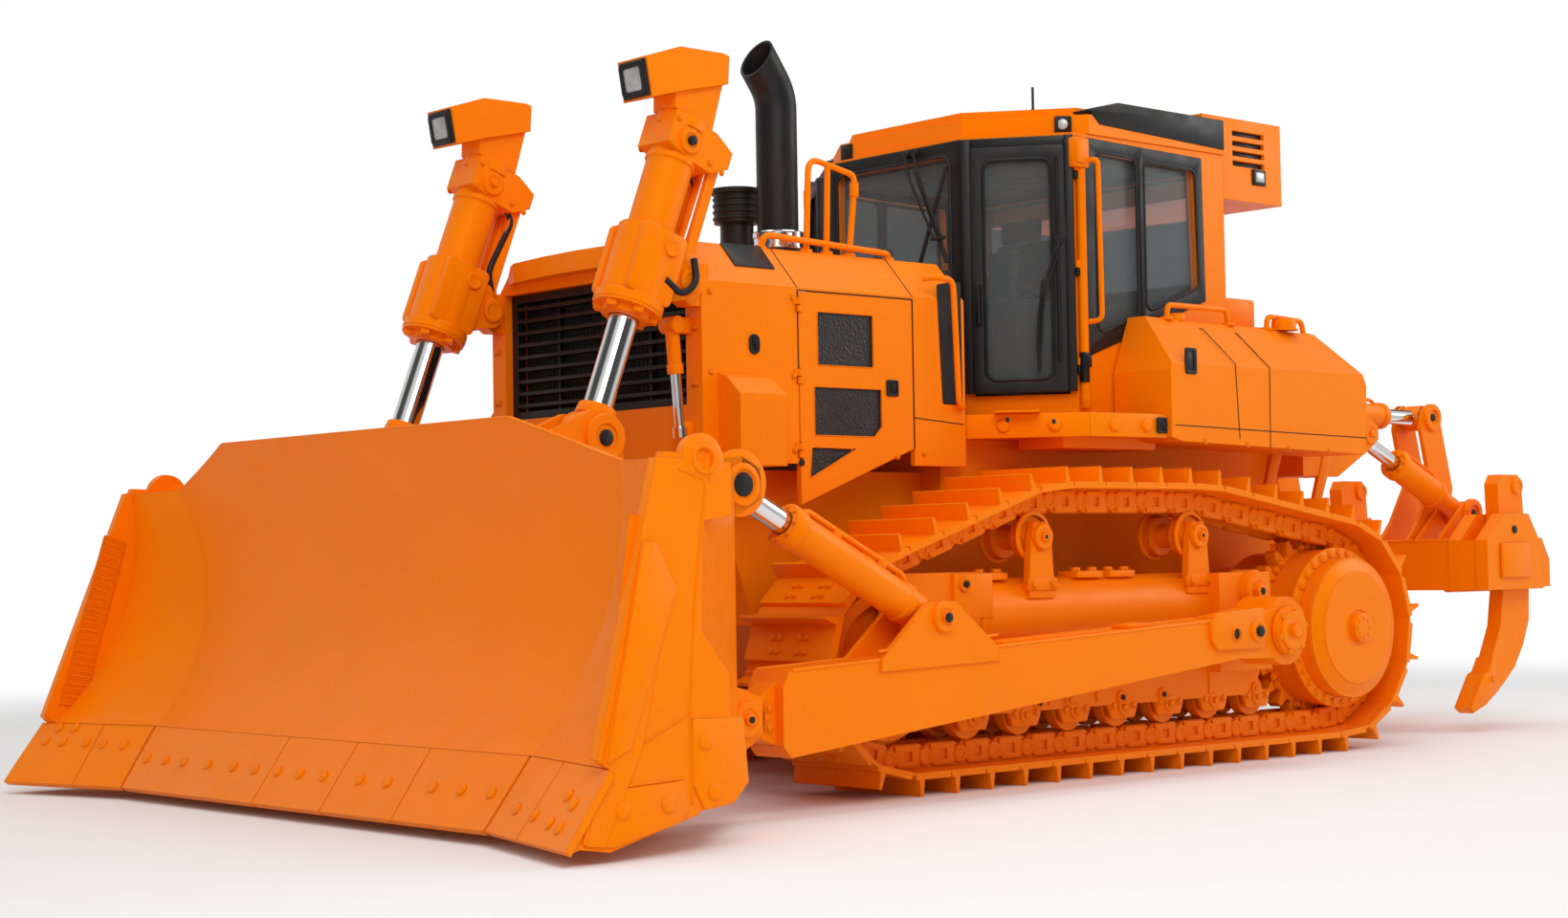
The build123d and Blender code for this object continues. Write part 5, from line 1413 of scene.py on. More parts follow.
def carrierRoller(bm, x):
    # end cap, foot of the bracket and the rings on the roller
    z = frameSide["carrierZ"]
    drawParts({
        "cap": ("cap", (x, 1262, z), 62, 22, 24),
        "capBolts": ("bolts", "middle", circleOf((x, 1262, z), (0, 1, 0), 48, 4, 0.6), (0, 1, 0)),
        "foot": ("block", (x, 1256, 925), (200, 24, 60), None, 6),
        "footBolts": ("bolts", "middle", [(x - 66, 1267, 925), (x + 66, 1267, 925)], (0, 1, 0)),
    }, bm)
    for y in frameSide["carrierRings"]:
        addLathe(bm, [(99, -34), (104, -28), (104, 28), (99, 34)], (x, y, z), (0, 1, 0), 40)
    for y in frameSide["carrierFlanges"]:
        addLathe(bm, [(104, -10), (124, -6), (124, 6), (104, 10)], (x, y, z), (0, 1, 0), 40)


def trackFrames():
    bm = drawParts(frameParts)
    face = frameSide["guardFace"]
    for x, z in frameSide["guardBolts"]:
        addCap(bm, (x, face - 1, z), 34, 12, 14)
    for x in frameSide["guardSeams"]:
        addBlock(bm, (x, face + 2, 490), (18, 12, 280), soft=3)
    for x in frameSide["rollerX"]:
        rollerBlock(bm, x)
    for x in frameSide["carrierX"]:
        carrierRoller(bm, x)
    # bands on the recoil tube and bolted pads on top of the frame
    for x in frameSide["bandX"]:
        middle = (x, chain["centre"], frameSide["tubeZ"])
        addLathe(bm, [(176, -30), (186, -24), (186, 24), (176, 30)], middle, (1, 0, 0), 48)
    for x in frameSide["padX"]:
        addBlock(bm, (x, 1130, 966), (190, 130, 34), soft=5)
        addBolts(bm, "large", [(x - 60, 1150, 982), (x + 60, 1150, 982)], (0, 0, 1))
    finishPiece("trackFrameFittings", bm, "hull", "orangePaint", both=True)
    bm = drawParts(framePins)
    for x, z in frameSide["darkPins"]:
        addDrum(bm, (x, face + 4, z), (x, face + 20, z), 13, sides=14, soft=2)
    for x in frameSide["rollerX"]:
        addDrum(bm, (x, 1256, 316), (x, 1264, 316), 12, sides=12, soft=2)
    for x in frameSide["carrierX"]:
        z = frameSide["carrierZ"]
        addDrum(bm, (x, 1290, z), (x, 1297, z), 12, sides=12, soft=2)
    finishPiece("trackFramePins", bm, "hull", "blackCoat", both=True)


arms = {
    "outer": 1650, "inner": 1430, "foot": (1680, 800), "ball": (2790, 420), "fork": (-500, 673),
    # welds along the arm's upper edges and round the cylinder foot: start, end as (x, z)
    "edgeWeld": ((-410, 742), (2550, 607)),
    "footWelds": (((1325, 650), (2058, 586)), ((1325, 714), (2058, 666))),
    "slope": 2.6,          # degrees the arm falls towards the blade
    "topPlate": ((900, 690), (700, 120, 14)), "topPad": ((300, 722), (150, 110, 26)), "topY": 1540,
    "forkPlate": [(-560, 590), (-190, 590), (-150, 640), (-150, 720), (-190, 768), (-560, 790)],
    "forkThick": 26, "lock": (-330, 664),
    "lockBoss": [(34, 0), (34, 12), (28, 12), (26, 2), (1, 2)],
    "ballBoss": [(110, 0), (114, 6), (114, 30), (106, 36)],
}


def armSide(bm, side):
    out, turn = (0, side, 0), leaning(arms["slope"], "Y")
    footX, footZ = arms["foot"]
    forkX, forkZ = arms["fork"]
    lockX, lockZ = arms["lock"]
    ballX, ballZ = arms["ball"]
    outer, inner = arms["outer"] - 2, arms["inner"] + 2
    for run in arms["footWelds"]:
        addTube(bm, [(x, side * outer, z) for x, z in run], 7)
    for y in (outer, inner):
        addTube(bm, [(x, side * y, z) for x, z in arms["edgeWeld"]], 8)
    for key, soft in (("topPlate", 4), ("topPad", 10)):
        (x, z), size = arms[key]
        addBlock(bm, (x, side * arms["topY"], z), size, turn, soft)
    forkY = outer if side > 0 else -outer - arms["forkThick"]
    drawParts({
        "footCap": ("cap", (footX, side * 1662, footZ), 66, 24, 26, out),
        "fork": ("plate", arms["forkPlate"], arms["forkThick"], sideFrame(forkY), 26, 5),
        "forkCap": ("cap", (forkX, side * 1673, forkZ), 56, 16, 20, out),
        "lock": ("lathe", arms["lockBoss"], (lockX, side * 1672, lockZ), out, 24),
        "ball": ("lathe", arms["ballBoss"], (ballX, side * 1595, ballZ), out, 40),
        "ballBolts": ("bolts", "middle", [(2640, side * 1602, z) for z in (380, 460)], out),
    }, bm)


def pushArms():
    bm = bmesh.new()
    for side in (1, -1):
        armSide(bm, side)
    finishPiece("pushArmFittings", bm, "push_arms", "orangePaint")
    bm = bmesh.new()
    # place, from, to, radius, sides, softened edge
    pins = ((arms["foot"], 1680, 1706, 22, 16, 3), (arms["fork"], 1680, 1700, 26, 18, 3),
            (arms["lock"], 1668, 1676, 20, 18, 0))
    for (x, z), start, end, radius, sides, soft in pins:
        for side in (1, -1):
            addDrum(bm, (x, side * start, z), (x, side * end, z), radius, None, sides, soft)
    finishPiece("pushArmPins", bm, "push_arms", "blackCoat")


trackChains()
finalDrives()
trackFrames()
pushArms()
print("running gear dressed")


endPlate = {
    "lean": 6.0, "foot": (0, 2250, 58), "inner": 2205,
    "wearStrip": ((3712, 1130), (3659, 1130), (3576, 955), (3842, 394), (3956, 346)),
    "cornerPad": ((3608, 266), (3590, 160), (3640, 116), (3950, 54), (4086, 74), (4012, 252)),
    "rearPad": ((3545, 486), (3300, 473), (3300, 240), (3380, 168), (3520, 152), (3566, 250)),
    # thickness, corner radius, softened edge
    "pads": {"wearStrip": (20, 3, 8), "cornerPad": (9, 12, 3), "rearPad": (10, 14, 3)},
    "welds": (((3941, 342), (3566, 501)), ((3505, 1402), (3378, 1362), (3483, 901), (3551, 485), (3570, 180)),
              ((3547, 490), (3294, 473)), ((3946, 262), (3605, 274))),
    "bolts": ((3900, 179), (3689, 186), (3496, 397), (3470, 215)),
    "lug": (3383, 1440),
    "lugBoss": [(1, -44), (100, -44), (100, -2), (94, 2), (62, 3), (58, 10), (42, 10), (38, -8), (1, -8)],
    "ribbed": ((3716, 1240), (3600, 1200), (3790, 403), (3916, 418)), "ribs": 66,
}


def endFrame(lift, y=None):
    # X forward, Y up the leaning end plate, Z outwards
    lean = math.radians(endPlate["lean"])
    x, foot, z = endPlate["foot"]
    axes = Matrix(((1, 0, 0), (0, -math.sin(lean), math.cos(lean)), (0, math.cos(lean), math.sin(lean))))
    return Matrix.Translation((x, y or foot, z)) @ axes.to_4x4() @ Matrix.Translation((0, 0, lift))


def endOutline(points):
    # heights above the ground turned into distances up the leaning plate
    return [(x, (z - endPlate["foot"][2]) / math.cos(math.radians(endPlate["lean"]))) for x, z in points]


def onEnd(point, lift=0.0, y=None):
    return endFrame(lift, y) @ Vector((*endOutline([point])[0], 0))


def endPlates():
    bm = bmesh.new()
    for key, (thick, corner, soft) in endPlate["pads"].items():
        addPlate(bm, endOutline(endPlate[key]), thick, endFrame(-1), corner, soft)
    for run in endPlate["welds"]:
        addTube(bm, [onEnd(p) for p in run], 6, bend=20, sides=8)
    outward = endFrame(0).to_3x3() @ Vector((0, 0, 1))
    addBolts(bm, "dome", [onEnd(p) for p in endPlate["bolts"]], outward)
    addLathe(bm, endPlate["lugBoss"], onEnd(endPlate["lug"]), outward, 40)
    # ribbed wear strip on the inner face
    left, right = endPlate["ribbed"][1:3], (endPlate["ribbed"][0], endPlate["ribbed"][3])
    addPlate(bm, endOutline(endPlate["ribbed"]), -9, endFrame(1, endPlate["inner"]), 4, soft=0)
    for i in range(endPlate["ribs"]):
        t = (i + 0.5) / endPlate["ribs"]
        ends = [onEnd(Vector(a).lerp(Vector(b), t), -9, endPlate["inner"]) for a, b in (left, right)]
        sway = Vector((0, 0, 3 * math.sin(i * 2.4)))
        addTube(bm, [ends[0], ends[0].lerp(ends[1], 0.5) + sway, ends[1] + sway * 0.4], 4, bend=30, sides=6)
    finishPiece("endPlateDetails", bm, "blade", "orangePaint", both=True)


edgeBolts = {
    "normal": (273, 0, 195), "foot": (3947, 58), "z": 190,
    "centre": (-1385, -1209, -1033, -811, -586, -396, -204, -21, 167, 450, 655, 981, 1179, 1379),
    "wingNormal": (273, -74.3, 204.3),
    "rightWing": ((3916, 1871, 246), (3888, 1758, 243), (3851, 1619, 242), (3937, 2117, 309),
                  (3906, 2010, 311), (3991, 2149, 248), (3960, 2030, 246)),
    "leftWing": ((3926, 1646, 152), (3983, 1836, 144), (3974, 2032, 228), (4015, 2115, 203),
                 (4038, 2003, 132), (4071, 2103, 123)),
}


def cuttingEdgeBolts():
    bm = bmesh.new()
    footX, footZ = edgeBolts["foot"]
    z = edgeBolts["z"]
    x = footX - (z - footZ) * edgeBolts["normal"][2] / edgeBolts["normal"][0]
    nx, ny, nz = edgeBolts["wingNormal"]
    addBolts(bm, "edge", [(x, y, z) for y in edgeBolts["centre"]], edgeBolts["normal"])
    addBolts(bm, "edge", edgeBolts["leftWing"], (nx, ny, nz))
    addBolts(bm, "edge", [(x, -y, z) for x, y, z in edgeBolts["rightWing"]], (nx, -ny, nz))
    finishPiece("edgeBolts", bm, "blade", "orangePaint")


bladeLugs = {
    "ear": (2790, 1366), "ball": (2790, 420), "lift": (2890, 1590), "earY": 1638,
    "liftFaces": ((865, 1), (635, -1)),
    # profiles of (radius, distance outwards)
    "earBoss": [(88, 0), (88, 10), (82, 14), (62, 14), (58, 6), (1, 6)],
    "liftBoss": [(104, 0), (104, 12), (98, 17), (60, 17), (56, 10), (1, 10)],
    # ribs and seams on the back of the centre section
    "rib": [(3125, 300), (3125, 1420), (3096, 1380), (3096, 340)], "ribs": (220, 560, 1000, 1330),
    "ribThick": 18, "seams": (460, 860, 1240),
}


def bladeFittings():
    (earX, earZ), (ballX, ballZ), (liftX, liftZ) = (bladeLugs[k] for k in ("ear", "ball", "lift"))
    y = bladeLugs["earY"]
    bm = drawParts({
        "earOuter": ("drum", (earX + 8, y - 30, earZ + 6), (earX + 8, y, earZ + 6), 138, None, 40, 4),
        "earInner": ("drum", (earX + 8, y - 196, earZ + 6), (earX + 8, y - 166, earZ + 6), 138, None, 40, 4),
        "earBoss": ("lathe", bladeLugs["earBoss"], (earX, y, earZ), (0, 1, 0), 36),
        "ballCap": ("cap", (ballX, y, ballZ), 74, 22, 26),
    })
    for face, side in bladeLugs["liftFaces"]:
        addLathe(bm, bladeLugs["liftBoss"], (liftX, face, liftZ), (0, side, 0), 36)
    for rib in bladeLugs["ribs"]:
        addPlate(bm, bladeLugs["rib"], bladeLugs["ribThick"], sideFrame(rib), 0, 3)
    for z in bladeLugs["seams"]:
        addTube(bm, [(3128, -100, z), (3128, 1480, z)], 7)
    finishPiece("bladeFittings", bm, "blade", "orangePaint", both=True)
    finishPiece("bladePins", drawParts({
        "ear": ("drum", (earX, y + 4, earZ), (earX, y + 12, earZ), 50, None, 28, 3),
        "lift": ("drum", (liftX, 872, liftZ), (liftX, 884, liftZ), 36, None, 24, 4),
        "ball": ("drum", (ballX, y + 20, ballZ), (ballX, y + 42, ballZ), 14, None, 14, 2),
    }), "blade", "blackCoat", both=True)


liftLine = {
    "pin": (2890, 1590), "collar": (2570, 2420), "y": 750, "pivot": (2390, 2290),
    # yoke plates: corners as (distance down the cylinder, offset forwards)
    "yoke": ((-92, 120), (-92, -122), (236, -122), (236, 120)), "yokeY": (846, 616), "yokeThick": 38,
    # side, then the faces of yoke, pivot and head on that side
    "faces": ((1, 884, 842, 858), (-1, 616, 658, 642)),
    "headBolts": ((-470, 95), (-590, 95), (-480, -130), (-470, -205)),
    "gland": [(150, -10), (156, -4), (156, 34), (148, 42), (112, 44), (108, 70), (98, 82), (72, 84)],
    "band": [(107, -12), (114, -6), (114, 18), (107, 24)],
    "pipe": ((-520, -200), (-60, -188), (30, -150)), "pipeY": (715, 785),
    "rodEye": [(122, -66), (126, -60), (126, 60), (122, 66), (60, 67)], "shank": (96, 150),
    "lamp": (2604, 750, 3174), "lampTilt": 10,
    # hoses as (distance, offset, y)
    "upperHose": ((-470, -120, 700), (-420, -190, 690), (-120, -140, 684), (-30, -210, 690)),
    "lowerHose": ((120, -60, 880), (150, -170, 880), (60, -230, 880), (-40, -190, 860)),
}


def onLift(distance, offset=0.0, y=None):
    # a point on the lift cylinder: distance down from the collar, offset forwards
    start, end = Vector(liftLine["collar"]), Vector(liftLine["pin"])
    ahead = (end - start).normalized()
    point = start + ahead * distance + Vector((-ahead.y, ahead.x)) * offset
    return Vector((point.x, liftLine["y"] if y is None else y, point.y))


def liftBarrels():
    along = onLift(1) - onLift(0)
    bm = drawParts({
        "gland": ("lathe", liftLine["gland"], onLift(240), along, 48),
        "band": ("lathe", liftLine["band"], onLift(-440), along, 40),
        "headBolts": ("bolts", "small", circleOf(onLift(-584), -along, 112, 8), along),
        "valve": ("block", onLift(-30, -165), (120, 150, 60), None, 10),
    })
    for spot in circleOf(onLift(294), along, 118, 6, 0.4):
        addBlock(bm, spot, (46, 46, 44), turned(along), soft=6)
    for y in liftLine["yokeY"]:
        corners = [onLift(*corner).xz for corner in liftLine["yoke"]]
        addPlate(bm, corners, liftLine["yokeThick"], sideFrame(y), 26, soft=5)
    x, z = liftLine["pivot"]
    for side, yokeY, pivotY, headY in liftLine["faces"]:
        out = (0, side, 0)
        drawParts({
            "yokeCap": ("cap", onLift(-20, -40, yokeY), 42, 14, 1, out),
            "pivotCap": ("cap", (x, pivotY, z), 56, 16, 1, out),
            "headCap": ("cap", onLift(-520, 10, headY), 58, 18, 20, out),
            "headBolts": ("bolts", "small", [onLift(*spot, headY) for spot in liftLine["headBolts"]], out),
        }, bm)
    for y in liftLine["pipeY"]:
        addTube(bm, [onLift(*point, y) for point in liftLine["pipe"]], 17, bend=60)
    finishPair("liftCylinderDetails", bm, "lift_barrel", "orangePaint")


def liftLamps():
    # work lamp on each lift cylinder: bezel with the hoses beside it, then the lens
    tilt = leaning(liftLine["lampTilt"], "Y")
    face = Matrix.Translation(liftLine["lamp"]) @ tilt
    rim = rectangle(-84, 84, -74, 74), rectangle(-58, 58, -52, 52)
    finishPair("liftLampBezel", drawParts({
        "bezel": ("block", liftLine["lamp"], (20, 186, 164), tilt, 8),
        "rim": ("ring", *rim, 12, face @ frontFrame(8), (20, 14)),
        "upperHose": ("tube", [onLift(*point) for point in liftLine["upperHose"]], 15, 90),
        "lowerHose": ("tube", [onLift(*point) for point in liftLine["lowerHose"]], 16, 80),
        "headPin": ("drum", onLift(-520, 10, 872), onLift(-520, 10, 892), 22, None, 16, 3),
    }), "lift_barrel", "blackCoat")
    finishPair("liftLampLens", drawParts({
        "lens": ("block", face @ Vector((12, 0, 0)), (8, 118, 106), tilt, 3),
        "bulb": ("drum", face @ Vector((15, 0, 0)), face @ Vector((19, 0, 0)), 30, 22, 24, 1),
    }), "lift_barrel", "lampGlass")


def liftRodEyes():
    # painted eye of the rod and its shank
    x, z = liftLine["pin"]
    eye, up = Vector((x, liftLine["y"], z)), onLift(0) - onLift(1)
    near, far = (eye + up * reach for reach in liftLine["shank"])
    finishPair("liftRodEye", drawParts({
        "eye": ("lathe", liftLine["rodEye"], eye, (0, 1, 0), 48),
        "shank": ("drum", near, far, 92, 84, 36, 8),
    }), "lift_rod", "orangePaint")


tiltLine = {
    "foot": (1680, 800), "ear": (2790, 1366), "y": 1540,
    "gland": [(83, -40), (94, -34), (94, 26), (88, 34), (56, 35)],
    "band": [(83, -20), (90, -14), (90, 14), (83, 20)],
    "rodEye": [(90, -60), (95, -54), (95, 54), (90, 60), (50, 61)],
    # pipe as (distance along the cylinder, height over its middle), and its clips
    "pipe": ((160, 80), (190, 112), (800, 108), (835, 84)), "clips": (330, 620), "clipHeight": 96,
}


def tiltCylinders():
    start, end = (Vector((x, tiltLine["y"], z)) for x, z in (tiltLine["foot"], tiltLine["ear"]))
    ahead = (end - start).normalized()
    up = Vector((-ahead.z, 0, ahead.x))
    bm = drawParts({
        "gland": ("lathe", tiltLine["gland"], start + ahead * 872, ahead, 48),
        "band": ("lathe", tiltLine["band"], start + ahead * 150, ahead, 48),
        "glandBolts": ("bolts", "small", circleOf(start + ahead * 905, ahead, 74, 8), ahead),
        "pipe": ("tube", [start + ahead * reach + up * high for reach, high in tiltLine["pipe"]], 13),
    })
    for reach in tiltLine["clips"]:
        place = start + ahead * reach + up * tiltLine["clipHeight"]
        addBlock(bm, place, (40, 50, 36), turned(up, ahead), soft=6)
    finishPair("tiltCylinderDetails", bm, "tilt_barrel", "orangePaint")
    finishPair("tiltRodEye", drawParts({
        "eye": ("lathe", tiltLine["rodEye"], end, (0, 1, 0), 40),
        "shank": ("drum", end - ahead * 82, end - ahead * 150, 64, 56, 32, 6),
    }), "tilt_rod", "orangePaint")


endPlates()
cuttingEdgeBolts()
bladeFittings()
liftBarrels()
liftLamps()
liftRodEyes()
tiltCylinders()
print("blade and cylinders dressed")


ripper = {
    "topHull": (-2590, 1870), "topMast": (-3560, 1858), "mastY": 560, "mastHalf": 106,
    "ramHull": (-2640, 1730), "ramBeam": (-3670, 1275), "ramY": 770, "ramHalf": 90,
    "linkY": 450, "linkBands": (2330, 2700, 3040),
    "shankPin": (-3700, 1430), "shankRows": (1100, 0, -1100),
    "barTop": 1110, "barPads": (330, 560, 770),
    # profiles of (radius, distance outwards)
    "mastBoss": [(82, 0), (82, 16), (74, 24), (46, 24), (42, 12), (1, 12)],
    "ramBoss": [(86, 0), (86, 16), (78, 24), (48, 24), (44, 12), (1, 12)],
    "shankBoss": [(52, 0), (52, 12), (46, 18), (30, 18), (26, 8), (1, 8)],
    # wear guard along the shank's front edge, and its point as (x, z)
    "guard": ((-3742, 620), (-3676, 490), (-3580, 372), (-3450, 280)),
    "point": [(-3390, 432), (-3332, 346), (-3284, 330), (-3142, 142), (-3180, 116), (-3300, 154),
              (-3446, 236)],
}
barParts = {
    "weldFront": ("tube", [(-3252, 0, 1112), (-3252, 960, 1112)], 8),
    "weldRear": ("tube", [(-3488, 240, 1112), (-3488, 920, 1112)], 8),
    "pushPlate": ("block", (-4066, 60, 900), (150, 14, 110)),
    # sleeve of the outer shank's pocket
    "sleeveInner": ("block", (-3500, 932, 965), (440, 66, 316), None, 14),
    "sleeveOuter": ("block", (-3520, 1242, 990), (300, 18, 200), None, 6),
}


def ripperBeam():
    bm = drawParts(barParts)
    (mastX, mastZ), (ramX, ramZ) = ripper["topMast"], ripper["ramBeam"]
    for side in (1, -1):
        mastY, ramY = ripper["mastY"] + side * ripper["mastHalf"], ripper["ramY"] + side * ripper["ramHalf"]
        addLathe(bm, ripper["mastBoss"], (mastX, mastY, mastZ), (0, side, 0), 36)
        addLathe(bm, ripper["ramBoss"], (ramX, ramY, ramZ), (0, side, 0), 36)
    for y in ripper["shankRows"][:2]:
        for x, z in ((-3961, 880), (-3900, 1040)):
            addBolts(bm, "large", [(x, y + across, z) for across in (-60, 60)], (-1, 0, 0))
    for y in ripper["barPads"]:
        addBlock(bm, (-3370, y, ripper["barTop"] + 6), (190, 40, 16), soft=5)
    finishPiece("ripperBeamDetails", bm, "ripper_beam", "orangePaint", both=True)
    mastFace, ramFace = ripper["mastY"] + ripper["mastHalf"] + 10, ripper["ramY"] + ripper["ramHalf"] + 10
    bm = bmesh.new()
    for y, (x, z) in ((mastFace, ripper["topMast"]), (ramFace, ripper["ramBeam"])):
        addDrum(bm, (x, y, z), (x, y + 8, z), 24, sides=18, soft=3)
    for y in ripper["shankRows"][:2]:
        for side in (-1, 1):
            addDrum(bm, (-3530, y + side * 128, 1170), (-3530, y + side * 138, 1170), 24, sides=18, soft=3)
    finishPiece("ripperBeamPins", bm, "ripper_beam", "blackCoat", both=True)


def ripperShanks():
    bm = bmesh.new()
    x, z = ripper["shankPin"]
    for y in ripper["shankRows"]:
        for side in (-1, 1):
            drawParts({
                "boss": ("lathe", ripper["shankBoss"], (x, y + side * 44, z), (0, side, 0), 32),
                "guard": ("tube", [(gx, y + side * 30, gz) for gx, gz in ripper["guard"]], 9, 60),
                "point": ("plate", ripper["point"], side * 16, sideFrame(y + side * 42), 5, 5),
                "pin": ("drum", (-3380, y + side * 58, 300), (-3380, y + side * 66, 300), 20, None, 16, 2),
            }, bm)
    finishPiece("shankDetails", bm, "ripper_beam", "orangePaint")


cylinderParts = {
    "ramGland": [(81, -30), (90, -24), (90, 20), (84, 28), (50, 30)],
    "ramBand": [(81, -14), (88, -10), (88, 10), (81, 14)],
    # pipes as (distance along the cylinder, height over its middle)
    "ramPipe": ((300, 84), (330, 106), (640, 106), (668, 84)),
    "upperGland": [(71, -26), (79, -20), (79, 16), (74, 22), (52, 24)],
    "upperPipe": ((120, 70), (150, 92), (500, 92), (530, 72)),
    "upperEye": [(72, -59), (76, -54), (76, 54), (72, 59), (44, 60)],
    "ramEye": [(70, -54), (74, -50), (74, 50), (70, 54), (44, 55)],
}


def rearLine(first, second, y):
    # start of a rear cylinder and its direction
    start, end = (Vector((x, y, z)) for x, z in (ripper[first], ripper[second]))
    return start, (end - start).normalized()


def pipeAlong(key, start, ahead, up):
    return [start + ahead * reach + up * high for reach, high in cylinderParts[key]]


def ripperLines():
    # rings on the cylinders and links, each on the body it turns with
    start, ahead = rearLine("ramBeam", "ramHull", ripper["ramY"])
    up = Vector((-ahead.z, 0, ahead.x))
    finishPiece("ramDetails", drawParts({
        "gland": ("lathe", cylinderParts["ramGland"], start + ahead * 700, ahead, 40),
        "band": ("lathe", cylinderParts["ramBand"], start + ahead * 300, ahead, 40),
        "bolts": ("bolts", "small", circleOf(start + ahead * 728, ahead, 68, 8), ahead),
        "pipe": ("tube", pipeAlong("ramPipe", start, ahead, up), 11, 24),
    }), "ram_barrels", "orangePaint", both=True)
    start, ahead = rearLine("topHull", "topMast", ripper["mastY"])
    finishPiece("upperLinkDetails", drawParts({
        "gland": ("lathe", cylinderParts["upperGland"], start + ahead * 582, ahead, 40),
        "pipe": ("tube", pipeAlong("upperPipe", start, ahead, Vector((0, 0, 1))), 11, 24),
    }), "upper_barrels", "orangePaint", both=True)
    for name, body, key, pin, y in (("upperRodEyes", "upper_rods", "upperEye", "topMast", ripper["mastY"]),
                                    ("ramRodEyes", "ram_rods", "ramEye", "ramHull", ripper["ramY"])):
        x, z = ripper[pin]
        eye = drawParts({"eye": ("lathe", cylinderParts[key], (x, y, z), (0, 1, 0), 36)})
        finishPiece(name, eye, body, "orangePaint", both=True)
    bm = bmesh.new()
    for reach in ripper["linkBands"]:
        addBlock(bm, (-reach, ripper["linkY"], 902), (34, 126, 138), soft=6)
    finishPiece("lowerLinkDetails", bm, "ripper_links", "orangePaint", both=True)


rearParts = {
    "handle": ("tube", [(-1960, 1000, 2010), (-1990, 1000, 2044), (-2260, 1000, 2040),
                        (-2286, 1000, 1950)], 14, 40),
    "valveBlock": ("block", (-2180, 860, 1860), (300, 240, 130), None, 18),
    "valveCap": ("cap", (-2250, 980, 1890), 54, 20, 24),
    "hatch": ("block", (-1954, 1140, 1780), (20, 250, 210), None, 6),
    # pin caps: radius, height, hexagon
    "topCap": ("cap", (-2590, 665, 1870), 66, 20, 22),
    "ramCap": ("cap", (-2640, 860, 1730), 60, 20, 22),
    "linkCap": ("cap", (-2180, 546, 900), 66, 20, 22),
    "braceRear": ("plate", [(-2020, 1300), (-2090, 1300), (-2230, 1620), (-2140, 1620)], 26,
                  sideFrame(880), 6, 4),
    "braceFront": ("plate", [(-1560, 1300), (-1630, 1300), (-1770, 1620), (-1680, 1620)], 26,
                   sideFrame(880), 6, 4),
}
rearHoses = {
    "outer": ("tube", [(-2120, 700, 1700), (-2200, 690, 1780), (-2300, 684, 1800),
                       (-2300, 676, 1690)], 14, 60),
    "inner": ("tube", [(-2120, 656, 1700), (-2200, 646, 1780), (-2300, 640, 1800),
                       (-2300, 632, 1690)], 14, 60),
}


ripperBeam()
ripperShanks()
ripperLines()
finishPiece("hullRearFittings", drawParts(rearParts), "hull", "orangePaint", both=True)
finishPiece("hullRearHoses", drawParts(rearHoses), "hull", "rubberTrim", both=True)
print("ripper dressed")


cushions = {
    # name, centre, size, turn about Y in degrees, swelling in mm
    "rows": (
        ("seatCushion", (-372, 0, 2248), (470, 500, 108), 3, 24),
        ("seatBackrest", (-640, 0, 2520), (100, 480, 480), -6, 24),
        ("seatHeadrest", (-676, 0, 2836), (86, 300, 150), -6, 22),
    ),
    "voxel": 0.006, "pressure": 4.0, "frames": 20, "slack": 0.002,
    "fills": (0.7, 0.6, 0.6),
}
seatFrame = {
    "pan": ("block", (-372, 0, 2180), (440, 460, 36), None, 12),
    "pedestal": ("block", (-372, 0, 2030), (300, 300, 300), None, 18),
    "foot": ("block", (-372, 0, 1878), (420, 380, 34), None, 8),
    "back": ("block", (-694, 0, 2520), (26, 430, 520), leaning(-6, "Y"), 12),
}


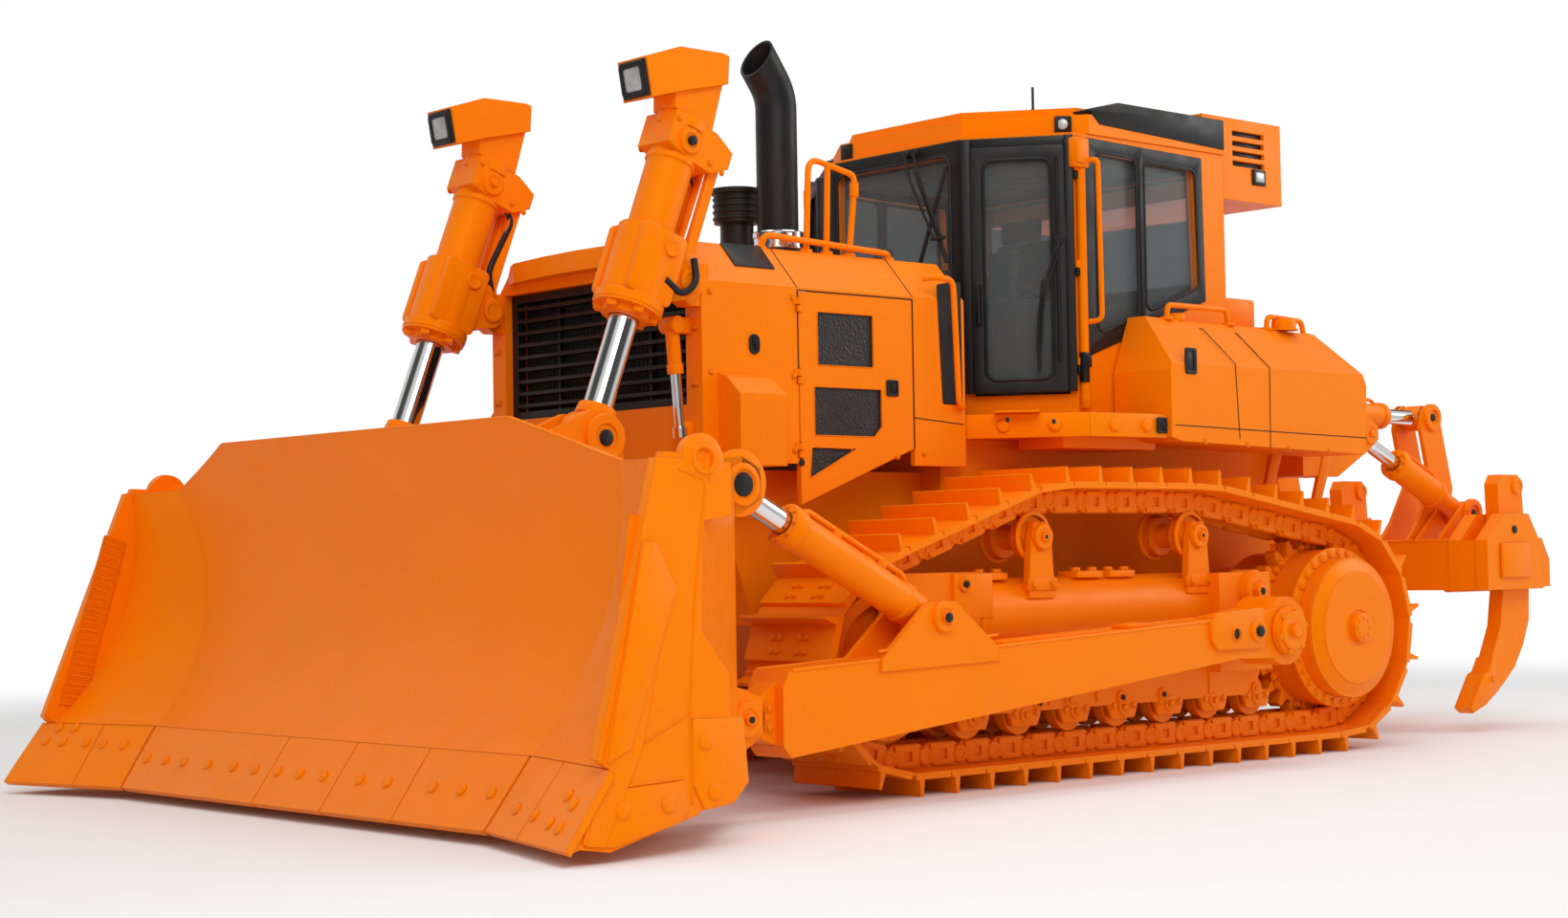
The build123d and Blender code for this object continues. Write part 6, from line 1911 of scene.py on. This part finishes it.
def makeCushion(name, centre, size, lean, swell):
    bm = bmesh.new()
    addBlock(bm, centre, [s - swell for s in size], leaning(lean, "Y"), soft=26, steps=4)
    cushion = finishPiece(name, bm, "hull", "seatFabric", crease=180)
    for key, kind in (("remesh", "REMESH"), ("cloth", "CLOTH"), ("smooth", "SUBSURF")):
        cushion.modifiers.new(key, kind)
    remesh, cloth, smooth = (cushion.modifiers[key] for key in ("remesh", "cloth", "smooth"))
    remesh.mode = "VOXEL"
    remesh.voxel_size = cushions["voxel"] * 1
    remesh.use_smooth_shade = True
    smooth.levels = smooth.render_levels = 1
    cloth.settings.use_pressure = True
    cloth.settings.uniform_pressure_force = cushions["pressure"]
    cloth.settings.effector_weights.gravity = 0.0
    cloth.point_cache.frame_start, cloth.point_cache.frame_end = 1, cushions["frames"]
    scene = bpy.context.scene
    for step in range(1, cushions["frames"] + 1):
        scene.frame_set(step)
    shaped = cushion.evaluated_get(bpy.context.evaluated_depsgraph_get())
    mesh = bpy.data.meshes.new_from_object(shaped)
    scene.frame_set(1)
    cushion.modifiers.clear()
    # the swelling is held to the cushion's own size
    middle, half = Vector(centre) * milli, [s * milli / 2 + cushions["slack"] for s in size]
    turn = leaning(lean, "Y").to_3x3()
    for vert in mesh.vertices:
        local = turn.inverted() @ (vert.co - middle)
        held = Vector([max(-h, min(h, value)) for h, value in zip(half, local)])
        vert.co = middle + turn @ held
    cushion.data = mesh
    mesh.shade_smooth()
    return cushion


def driverSeat():
    made = [makeCushion(*row) for row in cushions["rows"]]
    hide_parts("seat")
    # shell, pedestal and armrests
    bm = drawParts(seatFrame)
    for side in (-1, 1):
        y = side * 120
        drawParts({
            "bow": ("tube", [(-560, y, 2180), (-690, y, 2260), (-700, y, 2480)], 14, 40),
            "headStem": ("tube", [(-664, side * 60, 2740), (-678, side * 60, 2800)], 8),
            "armrest": ("block", (-430, side * 300, 2470), (330, 66, 44), None, 16, 3),
            "armStem": ("tube", [(-600, side * 300, 2460), (-640, side * 270, 2300)], 14),
        }, bm)
    finishPiece("seatFrame", bm, "hull", "rubberTrim")


driverSeat()
print("seat dressed")


# helper meshes that no piece uses any longer
for mesh in (scratch, *bolts.values()):
    bpy.data.meshes.remove(mesh)
